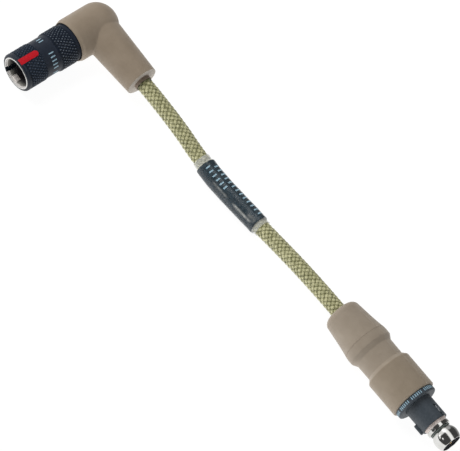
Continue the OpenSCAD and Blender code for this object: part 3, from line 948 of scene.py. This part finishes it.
# Wires from the pins round the corner, along the cable and out to the sockets
WIRES = 6
CORNER_BEND = 4
PIN_CIRCLE = 2.4
PIN_TAIL = 21.55
SOCKET_CIRCLE = 1.5
SOCKET_TAIL = 25.95
WIRE_SPREAD = 3
LEG_WIRES_AT = 9
PLUG_WIRES_AT = 18.4
WIRE_LINE_STEPS = 4


def make_wires():
    reach = (corner.y - mouth.y) / MM
    bend = [
        corner + Vector((CORNER_BEND * (1 - math.cos(a)), CORNER_BEND * (math.sin(a) - 1), 0)) * MM
        for a in sweep(0, 91, 15)
    ]
    core = [
        COUPLER.at(PIN_TAIL), COUPLER.at(PIN_TAIL + WIRE_SPREAD), COUPLER.at(reach - CORNER_BEND - 1),
        *bend, LEG.at(LEG_WIRES_AT), LEG.at(LINE_STARTS), *route, PLUG.at(LINE_ENDS),
        PLUG.at(PLUG_WIRES_AT), PLUG.at(SOCKET_TAIL - WIRE_SPREAD), PLUG.at(SOCKET_TAIL),
    ]
    lines = []
    for w in range(WIRES):
        a = 2 * math.pi * w / WIRES
        places = []
        for i, here in enumerate(core):
            heading = (core[min(i + 1, len(core) - 1)] - core[max(i - 1, 0)]).normalized()
            across = UP.cross(heading).normalized()
            circle = PIN_CIRCLE if i == 0 else SOCKET_CIRCLE if i > len(core) - 3 else WIRE_CIRCLE
            places.append(here + circle * MM * (math.cos(a) * across + math.sin(a) * heading.cross(across)))
        lines.append(smooth_line(places, WIRE_LINE_STEPS))
    wires = poly_curve("wire_bundle", *lines)
    wires.data.bevel_depth = WIRE_R * MM
    wires.data.bevel_resolution = 2
    wires.data.use_fill_caps = True
    only(wires)
    bpy.ops.object.convert(target="MESH")
    finish_piece(bpy.context.object, "wire_insulation", ["wires"], WIRE)


make_wires()
bpy.data.objects.remove(route_guide)

# Coupling sleeve
SLEEVE_STARTS = 0.1
SLEEVE_ENDS = 23.8
GUIDE_R = 6.22
RIB_R = 5.97
FREE_R = 6.4
FRONT_TIP_R = 7.0
REAR_TIP_R = 7.2
BAND_R = 6.75
SKIRT_R = 6.85
FRONT_ROUND = 0.8
KNURL_COLUMNS = 38
KNURL_ROWS = 4
KNURL_DEPTH = 0.27
KNURL_SLOPE = 0.32
KNURL_SINK = 0.02
KNURL_WALL = 0.3
FRONT_KNURL = (1.6, 8.65)
REAR_KNURL = (14.75, 21.65)


def knurl_ring(name, along, tip_r, flank_finish, tip_finish):
    """Ring of diamond points: a grid of squares, crossed, joined into diamonds and raised one by one."""
    start, end = along
    root_r = tip_r - KNURL_DEPTH
    bpy.ops.mesh.primitive_cylinder_add(
        vertices=KNURL_COLUMNS, radius=root_r * MM, depth=(end - start) * MM, end_fill_type="NOTHING",
        location=COUPLER.at((start + end) / 2), rotation=(math.pi / 2, 0, 0),
    )
    ring = added(name)
    mesh = ring.data

    def runs_along(edge):
        a, b = (mesh.vertices[i].co for i in edge.vertices)
        return abs(a.y - b.y) > MM

    pick(ring, "EDGE", runs_along)
    bpy.ops.mesh.subdivide(number_cuts=KNURL_ROWS - 1)
    object_mode()
    squares = len(mesh.vertices)
    ends = [COUPLER.at(start).y, COUPLER.at(end).y]

    def splits_diamond(edge):
        at_rim = any(all(abs(mesh.vertices[i].co.y - y) < TOUCHING for i in edge.vertices) for y in ends)
        return max(edge.vertices) < squares and not at_rim

    edit_mode()
    bpy.ops.mesh.select_mode(type="FACE")
    bpy.ops.mesh.select_all(action="SELECT")
    bpy.ops.mesh.poke(offset=0.0)
    object_mode()
    pick(ring, "EDGE", splits_diamond)
    bpy.ops.mesh.dissolve_edges(use_verts=False)
    bpy.ops.mesh.select_mode(type="FACE")
    bpy.ops.mesh.select_all(action="SELECT")
    bpy.ops.mesh.inset(use_individual=True, thickness=KNURL_SLOPE * MM, depth=KNURL_DEPTH * MM)
    object_mode()
    # The inset tops get the paler tip finish: partly wear, partly painted glints
    paint(ring, [flank_finish, tip_finish], lambda face: face.select)
    edit_mode()
    bpy.ops.mesh.select_all(action="DESELECT")
    bpy.ops.mesh.select_mode(type="EDGE")
    bpy.ops.mesh.select_non_manifold(
        extend=False, use_wire=False, use_boundary=True, use_multi_face=False, use_non_contiguous=False,
        use_verts=False,
    )
    bpy.ops.mesh.extrude_edges_move()
    inwards = (root_r - KNURL_WALL) / root_r
    bpy.ops.transform.resize(value=(inwards, 1, inwards), center_override=COUPLER.start)
    bpy.ops.mesh.bridge_edge_loops()
    weld()
    return ring


STRIPE_W = 2.3
STRIPE_FROM = 0.45
STRIPE_TO = 8.2
STRIPE_PROUD = 0.03
STRIPE_ROOT = 6.6
STRIPE_RING_TO = 9
STRIPE_GAP = 0.05
STRIPE_REACH = 2


def stripe_bar(name, grow):
    """Upright bar with a round rear end, over the place of the stripe."""
    half = STRIPE_W / 2 + grow
    hub = STRIPE_TO - STRIPE_W / 2
    rear = [(half * math.cos(a), hub + half * math.sin(a)) for a in sweep(0, 181, 10)]
    outline = [(half, STRIPE_FROM - grow), *rear, (-half, STRIPE_FROM - grow)]
    low = COUPLER.at(0, STRIPE_ROOT - grow)
    obj = draw(name, [low + Vector((x, y, 0)) * MM for x, y in outline])
    bpy.ops.mesh.edge_face_add()
    bpy.ops.mesh.extrude_region_move(TRANSFORM_OT_translate={"value": (0, 0, STRIPE_REACH * MM)})
    weld()
    return obj


def make_sleeve():
    front_bed = FRONT_TIP_R - KNURL_DEPTH - KNURL_SINK
    rear_bed = REAR_TIP_R - KNURL_DEPTH - KNURL_SINK
    core = turned("knurled_sleeve", COUPLER, rounded([
        (SLEEVE_STARTS, GUIDE_R, 0.1), (SLEEVE_STARTS, FRONT_TIP_R, FRONT_ROUND), (1.5, FRONT_TIP_R, 0.08),
        (1.75, front_bed), (8.6, front_bed), (8.75, BAND_R, 0.05), (14.6, BAND_R, 0.05), (14.75, rear_bed),
        (21.6, rear_bed, 0.04), (21.8, SKIRT_R, 0.04), (SLEEVE_ENDS, SKIRT_R, 0.1),
        (SLEEVE_ENDS, FREE_R, 0.05), (12.6, FREE_R), (12.6, RIB_R), (8.576, RIB_R), (7.2, FREE_R),
        (6.2, FREE_R), (6.2, RIB_R), (5.6, RIB_R), (5.6, GUIDE_R),
    ]))
    dress(core, SLEEVE_BLACK)
    front = knurl_ring("front_knurl", FRONT_KNURL, FRONT_TIP_R, FRONT_KNURL_FLANK, FRONT_KNURL_WORN_GLINT_TIP)
    combine(front, stripe_bar("stripe_bed", STRIPE_GAP), "DIFFERENCE")
    rear = knurl_ring("rear_knurl", REAR_KNURL, REAR_TIP_R, SLEEVE_BLACK, REAR_KNURL_WORN_GLINT_TIP)
    return finish_piece(join(core, front, rear), "black_sleeve", ["coupling_sleeve"], body="sleeve")


def make_stripe():
    """Red fill, level with the knurl's points and rounded over the sleeve's front edge."""
    top = FRONT_TIP_R + STRIPE_PROUD
    ring = turned("red_stripe", COUPLER, rounded([
        (SLEEVE_STARTS - STRIPE_PROUD, STRIPE_ROOT), (SLEEVE_STARTS - STRIPE_PROUD, top, FRONT_ROUND),
        (STRIPE_RING_TO, top), (STRIPE_RING_TO, STRIPE_ROOT),
    ]))
    combine(ring, stripe_bar("stripe_outline", 0), "INTERSECT")
    return finish_piece(ring, "red_fill", ["alignment_stripe"], RED, body="sleeve")


def make_spring():
    """The sleeve's spring, pressed together against its stop ring as the sleeve slides back."""
    spring = welded(placed("coil_spring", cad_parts["sleeve_spring"].data.copy()))
    finish_piece(spring, "spring_steel", ["sleeve_spring"], STEEL)
    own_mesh(spring)


SLEEVE_MARKS = {
    "along": (11.1, 13), "radius": BAND_R, "width": 3.4,
    "angles": [-14, -2, 20, 32, 44, 56, 68, 116, 128, 200, 212, 224, 236, 290, 302],
}
BAND_PRINT_ROOT = 0.1


def make_marks(name, axis, body, slot, along, radius, width, angles):
    """Plain white bars round a band: one bar, copied to every angle."""
    radii = (radius - BAND_PRINT_ROOT, radius + PRINT_PROUD)
    bar = mark(name, axis, along, radii, (-width / 2, width / 2), steps=3)
    bars = [copy_of(bar, axis.turning(angle)) for angle in angles]
    bpy.data.objects.remove(bar)
    row = join(*bars)
    row.name = name
    return finish_piece(row, slot, [], PRINT, body=body)


# Coupler barrel
BARREL_SECTION = [
    (0, 5.65, 0.1), (0, 6.1, 0.28), (5.5, 6.1), (5.5, 5.85), (12.5, 5.85), (12.5, 5.4), (20.6, 5.4),
    (20.6, 5.2), (21.6, 5.2), (21.6, 5.4), (28.2, 5.4), (28.2, 4.8), (11.5, 4.8), (11.5, 4.6),
    (5, 4.6, 0.1), (5, 5.35), (0.8, 5.35, 0.08), (0.8, 5.65),
]
KEYWAY = {"along": (-1, 4), "radius": (4.6, 6.6), "width": 1.8, "angle": 218, "edge": 0.05}
KEY_LUG = {"along": (0.8, 2.6), "radius": (4.8, 5.5), "width": 2.6, "angle": 264, "edge": 0.12}
# Faces inside these limits belong to the lug or to the bore
LUG_ALONG = (0.75, 2.65)
LUG_R = 5.3
BORE_R = 5.66
BALL_AT = 8
BALL_HOLES = (90, 210, 330)
BALL_HOLE_R = 0.93
BALL_HOLE_LIP = 0.66


def ball_hole(angle):
    """Cutter that narrows towards the bore, so that the ball can't fall through."""
    section = [
        (4, 0), (4, BALL_HOLE_LIP), (4.6, BALL_HOLE_LIP), (5, BALL_HOLE_R), (6.5, BALL_HOLE_R), (6.5, 0),
    ]
    return turned("ball_hole", COUPLER.side(BALL_AT, angle), section, SMALL_TURN_STEPS)


def barrel_part(face):
    """0 for the barrel's outside, 1 for its bore and 2 for the lug."""
    along = (face.center - mouth).dot(COUPLER.along) / MM
    radius = (face.center - mouth - along * MM * COUPLER.along).length / MM
    if LUG_ALONG[0] < along < LUG_ALONG[1] and radius < LUG_R:
        return 2
    return radius < BORE_R


def make_coupler_barrel():
    barrel = turned("nickel_barrel", COUPLER, rounded(BARREL_SECTION))
    combine(barrel, block("keyway", COUPLER, **KEYWAY), "DIFFERENCE")
    for angle in BALL_HOLES:
        combine(barrel, ball_hole(angle), "DIFFERENCE")
    combine(barrel, block("key_lug", COUPLER, **KEY_LUG), "UNION")
    paint(barrel, [NICKEL, BORE, LUG_HIGHLIGHT], barrel_part)
    return finish_piece(barrel, "bright_nickel", ["coupler_barrel"])


# Elbow moulding
DOME_R = 7.9
DOME_FROM = 35.4
DOME_LEN = 7.3
ELBOW_SKIRT = [
    (24.9, 0), (24.9, 7.1), (22.8, 7.1), (22.8, 7.4), (22.86, 7.5), (23.6, 7.5), (23.9, 7.8),
    (24.2, DOME_R),
]
SHELL_HOLLOW = [(24.4, 0), (24.4, 6.35), (38.95, 6.35), (38.95, 0)]
SCREEN_TUBE_R = 3.65
SHIELD_BAND_R = 4.2
LEG_ROOT_R = 7.1
LEG_END_R = 5.9
LEG_SPLIT = 20
ELBOW_VOXEL = 0.2
ELBOW_SOFTENING = {"factor": 0.5, "iterations": 6}
CABLE_HOLE_R = 2.9
COLLAR_R = 3.1
PASSAGE_STEPS = 48
# Faces this far past or before the leg's end belong to the collar or to the end face
COLLAR_FROM = 0.05
END_FROM = -0.06
FACING = 0.8


def leg_r(along):
    return LEG_ROOT_R + (LEG_END_R - LEG_ROOT_R) * along / leg_len


def elbow_part(face):
    """0 for the elbow's skin, 1 for its end face, painted paler as a sheen, and 2 for the collar, painted
    darker as shade.
    """
    beyond = (face.center.x - LEG.at(leg_len).x) / MM
    if beyond > COLLAR_FROM:
        return 2
    return beyond > END_FROM and face.normal.x > FACING


def make_elbow():
    """Domed corner and tapered leg, melted together with a soft crease, with the hollows cut afterwards."""
    dome = [(DOME_FROM + DOME_LEN * math.sin(a), DOME_R * math.cos(a)) for a in sweep(3, 90, 3)]
    outline = [*ELBOW_SKIRT, (DOME_FROM, DOME_R), *dome, (DOME_FROM + DOME_LEN, 0)]
    body = turned("elbow_moulding", COUPLER, outline)
    leg = turned("elbow_leg", LEG, [
        (0, 0), (0, LEG_ROOT_R), (LEG_SPLIT, leg_r(LEG_SPLIT)), (LEG_SPLIT, 0),
    ])
    combine(body, leg, "UNION")
    apply_modifier(body, "REMESH", mode="VOXEL", voxel_size=ELBOW_VOXEL * MM)
    apply_modifier(body, "SMOOTH", **ELBOW_SOFTENING)
    hollow = turned("shell_hollow", COUPLER, SHELL_HOLLOW)
    past_end = leg_len + 2
    passage = turned("cable_passage", LEG, [
        (0, 0), (0, SCREEN_TUBE_R), (8.95, SCREEN_TUBE_R), (8.95, SHIELD_BAND_R), (13.05, SHIELD_BAND_R),
        (13.05, SCREEN_TUBE_R), (15.05, SCREEN_TUBE_R), (15.05, CABLE_HOLE_R), (past_end, CABLE_HOLE_R),
        (past_end, 0),
    ], PASSAGE_STEPS)
    end = turned("elbow_end", LEG, rounded([
        (LEG_SPLIT - 1, 0), (LEG_SPLIT - 1, leg_r(LEG_SPLIT - 1)), (leg_len, LEG_END_R, 0.12),
        (leg_len, COLLAR_R, 0.08), (leg_len + COLLAR_LEN, COLLAR_R, 0.06), (leg_len + COLLAR_LEN, 0),
    ])[:-1])
    combine(body, end, "UNION")
    combine(body, combine(hollow, passage, "UNION"), "DIFFERENCE")
    # Skin, end face with painted sheen, and collar with painted shade
    paint(body, [ELBOW_TAN, END_SHEEN_TAN, COLLAR_SHADE_TAN], elbow_part)
    return finish_piece(body, "tan_rubber", ["elbow_overmold"])


# Straight moulding
REAR_ROUND = 2.6
REAR_END_R = 4
REAR_CURVE = [(1.71, 6.44), (4, 6.72), (7.6, 7.13), (11, 7.6), (13.4, 8.02)]
REAR_CURVE_STEPS = 4
PARTING_RING = [(13.45, 7.95), (13.55, 7.95), (13.6, 8.08)]
BULGE_R = 8.3
BULGE_FROM = 25.2
OVERMOULD_TO = 38.9
SEAT_R = 6.65
SEAT_FROM = 18.35
NECK_DOT = (21.3, 108)
NECK_DOT_STEPS = 24
NECK_DOT_SECTION = [(6.8, 0), (6.8, 0.5), (7.06, 0.5), (7.12, 0.42), (7.12, 0)]
# Parting lines: their angles, how far they stand out, and the limits of the skin that they run on
SEAM_ANGLES = (64.7, 244.7)
SEAM_REACH = math.radians(180 / TURN_STEPS)
SEAM_RISE = 0.13
SEAM_OUTSIDE = 6.7
SEAM_TO = 38.6


def on_seam(vertex):
    along, *aside = (vertex.co - PLUG.start) / MM
    aside = Vector((0, *aside))
    on_skin = along < SEAM_TO and aside.length > SEAM_OUTSIDE
    return on_skin and any(aside.angle(PLUG.out(angle)) < SEAM_REACH for angle in SEAM_ANGLES)


def make_straight_moulding():
    """Turned moulding: a tapered rear with a parting ring, a groove, a neck with a dot, and a front bulge.

    The mould's parting lines along two sides are each raised from one row of points.
    """
    rear = [
        (REAR_ROUND + REAR_ROUND * math.sin(a), REAR_END_R + REAR_ROUND * math.cos(a))
        for a in sweep(-90, -20, 10)
    ]
    curve = smooth_section(REAR_CURVE, REAR_CURVE_STEPS)
    front = rounded([
        *PARTING_RING, (15, 8.18), (16.6, 8.12, 0.4), (18.4, 7.05, 0.4), (24.4, 7.0, 0.6),
        (25.9, BULGE_R, 0.7), (OVERMOULD_TO, BULGE_R, 0.35), (OVERMOULD_TO, SEAT_R), (SEAT_FROM, SEAT_R),
    ])[:-1]
    inside = [
        (SEAT_FROM, SCREEN_TUBE_R), (14.05, SCREEN_TUBE_R), (14.05, SHIELD_BAND_R), (9.95, SHIELD_BAND_R),
        (9.95, SCREEN_TUBE_R), (7.95, SCREEN_TUBE_R), (7.95, CABLE_HOLE_R), (0.15, CABLE_HOLE_R),
        (0, CABLE_HOLE_R + 0.15),
    ]
    section = [*rear, *curve, *front, *inside]
    moulding = turned("straight_moulding", PLUG, [*section, section[0]])
    dot = turned("neck_dot", PLUG.side(*NECK_DOT), NECK_DOT_SECTION, NECK_DOT_STEPS)
    combine(moulding, dot, "UNION")
    pick(moulding, "VERT", on_seam)
    bpy.ops.transform.shrink_fatten(value=SEAM_RISE * MM)
    object_mode()
    # The front bulge gets the darker copy of the rubber as painted shade
    bulge_x = PLUG.at(BULGE_FROM).x
    paint(moulding, [STRAIGHT_TAN, FRONT_SHADE_TAN], lambda face: face.center.x > bulge_x)
    return finish_piece(moulding, "tan_rubber", ["straight_overmold"])


# Flange, barrel and nose of the plug
BARREL_R = 4.92
BARREL_GAP = 0.02
BARREL_TO = 49.9
BARREL_SEAT_R = 4.3
BARREL_EDGE = 0.06
BARREL_SHARP = math.radians(50)
FLANGE_R = 7.55
# A bar every 6 degrees, with a gap after every six bars
FLANGE_MARKS = {
    "along": (39.2, 40.35), "radius": FLANGE_R, "width": 2.4,
    "angles": [angle for angle in range(0, 360, 6) if angle % 42],
}
KEY = {"along": (45.9, 49.65), "radius": (4.6, 5.82), "width": 1.8, "angle": 206, "edge": 0.3}
# The groove's far wall lies between these places, in widths from its middle
GROOVE_WALL = (-0.6, -0.4)
GROOVE = {"along": (44.9, 51), "radius": (4.5, 6), "width": 0.9, "angle": 64, "edge": 0.05}


def make_flange():
    flange = turned("plug_flange_ring", PLUG, rounded([
        (32.95, BARREL_R + BARREL_GAP), (32.95, 6.6), (38.95, 6.6), (38.95, FLANGE_R, 0.12),
        (41, FLANGE_R, 0.5), (41, BARREL_R + BARREL_GAP, 0.08),
    ]))
    return finish_piece(flange, "black_plug", ["plug_flange"], PLUG_BLACK)


def make_keyed_barrel():
    barrel = turned("plug_barrel", PLUG, rounded([
        (31.7, BARREL_SEAT_R), (31.7, 5.5), (32.9, 5.5), (32.9, BARREL_R), (BARREL_TO, BARREL_R, 0.3),
        (BARREL_TO, BARREL_SEAT_R, 0.08),
    ]))
    combine(barrel, block("key", PLUG, **KEY), "UNION")
    combine(barrel, block("groove", PLUG, **GROOVE), "DIFFERENCE")
    apply_modifier(
        barrel, "BEVEL", width=BARREL_EDGE * MM, segments=2, limit_method="ANGLE", angle_limit=BARREL_SHARP,
    )
    across = PLUG.out(GROOVE["angle"] + 90)
    groove_x = PLUG.at(GROOVE["along"][0]).x

    def far_wall(face):
        aside = (face.center - PLUG.start).dot(across) / MM / GROOVE["width"]
        on_wall = GROOVE_WALL[0] < aside < GROOVE_WALL[1] and face.center.x > groove_x
        return on_wall and face.normal.dot(across) > FACING

    # The groove's far wall gets the bright spots: partly wear, partly painted glints
    paint(barrel, [PLUG_BLACK, WORN_GLINT_WALL], far_wall)
    return finish_piece(barrel, "black_plug", ["keyed_barrel"])


NOSE_R = 4.28
NOSE_BORE = 2.35
STEP_TO = 51
NOSE_NECK_R = 3.15
HEAD_BORE = 3.5
BULB = [
    (52.98, 3.5), (53.25, 3.72), (53.7, 4.04), (54.5, 4.38), (55.4, 4.55), (56.3, 4.49), (57.4, 4.25),
    (58.3, 3.88),
]
BULB_STEPS = 6


def make_nose():
    """Nose with a step, a crowned ring, a narrow neck and a bulb."""
    bulb = smooth_section(BULB, BULB_STEPS)
    base = rounded([
        (32, NOSE_BORE), (32, NOSE_R), (BARREL_TO, NOSE_R), (BARREL_TO, 4), (50.9, 4, 0.1),
        (51.1, NOSE_R, 0.1), (52.35, NOSE_R + 0.02, 0.3), (52.35, NOSE_NECK_R, 0.06), (52.97, NOSE_NECK_R),
    ])[:-1]
    tip = [(58.4, 3.76), (58.4, HEAD_BORE + 0.06), (58.34, HEAD_BORE), (55.1, HEAD_BORE), (55.1, NOSE_BORE)]
    section = [*base, *bulb, *tip]
    nose = turned("nickel_nose", PLUG, [*section, section[0]])
    step_x = PLUG.at(STEP_TO).x
    paint(nose, [NOSE_NICKEL, SATIN], lambda face: face.center.x < step_x)
    return finish_piece(nose, "nose_nickel", ["snap_nose"])


make_spring()
make_sleeve()
make_stripe()
make_marks("sleeve_print", COUPLER, "sleeve", "black_sleeve", **SLEEVE_MARKS)
make_coupler_barrel()
make_elbow()
make_straight_moulding()
make_flange()
make_marks("flange_print", PLUG, "cable_assembly", "black_plug", **FLANGE_MARKS)
make_keyed_barrel()
make_nose()

# Inner pieces keep their solids and get a finish
INNER_FINISHES = {
    "spring_stop_ring": STEEL, "lock_ball_1": STEEL, "lock_ball_2": STEEL, "lock_ball_3": STEEL,
    "pin_insulator": INSULATOR, "insulator_ring": STEEL, "pin_contacts": GOLD, "face_seal": SEAL,
    "elbow_backshell": BACKSHELL, "elbow_shield_band": STEEL, "plug_backshell": BACKSHELL,
    "plug_shield_band": STEEL, "barrel_nut": STEEL, "nose_seal": GREY_SEAL,
    "socket_insulator": INSULATOR, "socket_contacts": GOLD,
}
for node, material in INNER_FINISHES.items():
    dress(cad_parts[node], material)

# Floor and light
FLOOR_SIZE = 6
FLOOR_DROP = 0.05 * MM
FLOOR_GLOW = 0.86
FLOOR_WHITE = 1.1
FLOOR_DIM = 0.15
FLOOR_BOUNCE = 2.0
FLOOR_PAPER = (0.8, 0.8, 0.8, 1)
# Where bright metal sees the floor end, in millimetres behind the middle
FLOOR_FADE = (26, 48)
WHITE = (1, 1, 1, 1)


def make_floor():
    """Pale floor that glows like a light table: it looks white and keeps a faint shadow of the object.

    Bright metal sees it end in a dark room on the far side of the object.
    """
    bpy.ops.mesh.primitive_plane_add(size=FLOOR_SIZE, location=(0, 0, -FLOOR_DROP))
    floor = bpy.context.object
    floor.name = "floor"
    finish = Finish("floor_white")
    finish.nodes.remove(finish.shader)
    paper = finish.node("ShaderNodeBsdfDiffuse")
    paper.inputs["Color"].default_value = FLOOR_PAPER
    glow = finish.node("ShaderNodeEmission")
    path = finish.node("ShaderNodeLightPath").outputs
    far = finish.spread(finish.parts(finish.place())["Y"], *FLOOR_FADE, 0.0, FLOOR_WHITE - FLOOR_DIM)
    lit = finish.spread(path["Is Diffuse Ray"], 0, 1, FLOOR_WHITE, FLOOR_BOUNCE)
    level = finish.maths("SUBTRACT", lit, finish.maths("MULTIPLY", path["Is Glossy Ray"], far))
    finish.links.new(level, glow.inputs["Strength"])
    mix = finish.node("ShaderNodeMixShader")
    mix.inputs["Fac"].default_value = FLOOR_GLOW
    finish.links.new(paper.outputs["BSDF"], mix.inputs[1])
    finish.links.new(glow.outputs["Emission"], mix.inputs[2])
    finish.links.new(mix.outputs["Shader"], finish.nodes["Material Output"].inputs["Surface"])
    floor.data.materials.append(finish.material)


DOME_HORIZON = 0.46
DOME_ZENITH = 0.12
DARK_ROOM = 0.06
# Cards that bright surfaces see: limits of the direction's x, y and z, and how bright the card is
CARDS = {
    "overhead_strip": ((-1, 1), (-0.16, 0.34), (0.1, 1), 1.1),
    "far_panel": ((-1, -0.55), (0.35, 0.75), (-0.05, 0.6), 0.35),
    "left_panel": ((-1, -0.64), (-0.8, 0.1), (0, 0.8), 0.9),
    "front_spot": ((-0.12, 0.02), (-1, -0.5), (0.44, 0.52), 2.8),
    "low_panel": ((-0.8, -0.36), (-1, -0.6), (0.12, 0.34), 1.0),
}
CARD_EDGE = 0.14


def make_world():
    """Soft light from all round, most from the sides. Bright surfaces see white cards in a dark room."""
    world = bpy.data.worlds.new("studio")
    bpy.context.scene.world = world
    sky = Nodes(world)
    where = sky.parts(sky.node("ShaderNodeTexCoord").outputs["Generated"])
    dome = sky.spread(where["Z"], 0, 1, DOME_HORIZON, DOME_ZENITH)
    room = DARK_ROOM
    for *limits, level in CARDS.values():
        card = level
        for way, (low, high) in zip("XYZ", limits):
            if low > -1:
                fade = sky.spread(where[way], low, low + CARD_EDGE)
                card = sky.maths("MULTIPLY", fade, card)
            if high < 1:
                fade = sky.spread(where[way], high, high + CARD_EDGE, 1, 0)
                card = sky.maths("MULTIPLY", fade, card)
        room = sky.maths("ADD", card, room)
    path = sky.node("ShaderNodeLightPath").outputs
    shiny = sky.mix(path["Is Glossy Ray"], dome, room)
    direct = sky.maths("MAXIMUM", path["Is Camera Ray"], path["Is Transmission Ray"])
    sky.nodes["Background"].inputs["Color"].default_value = WHITE
    sky.links.new(sky.mix(direct, shiny, 1), sky.nodes["Background"].inputs["Strength"])


# Each lamp: direction from the object, distance and size in metres, and how bright a white card it makes
LAMPS = {
    "key_lamp": ((-0.58, -0.1, 0.81), 1.8, 1.0, 0.72),
    "front_lamp": ((0.1, -0.8, 0.55), 1.2, 0.4, 0.12),
    "plug_lamp": ((0.7, 0.5, 0.5), 0.6, 0.4, 0.1),
}


def make_lamps():
    """Soft lamps, which bright surfaces don't show because they have the cards."""
    for name, (direction, distance, size, level) in LAMPS.items():
        towards = Vector(direction).normalized()
        bpy.ops.object.light_add(type="AREA", location=towards * distance)
        lamp = bpy.context.object
        lamp.name = name
        lamp.data.size = size
        lamp.data.energy = level * (math.pi * distance) ** 2
        lamp.rotation_mode = "QUATERNION"
        lamp.rotation_quaternion = towards.to_track_quat("Z", "Y")
        lamp.visible_glossy = False


make_floor()
make_world()
make_lamps()
bpy.context.scene.view_settings.view_transform = "Standard"
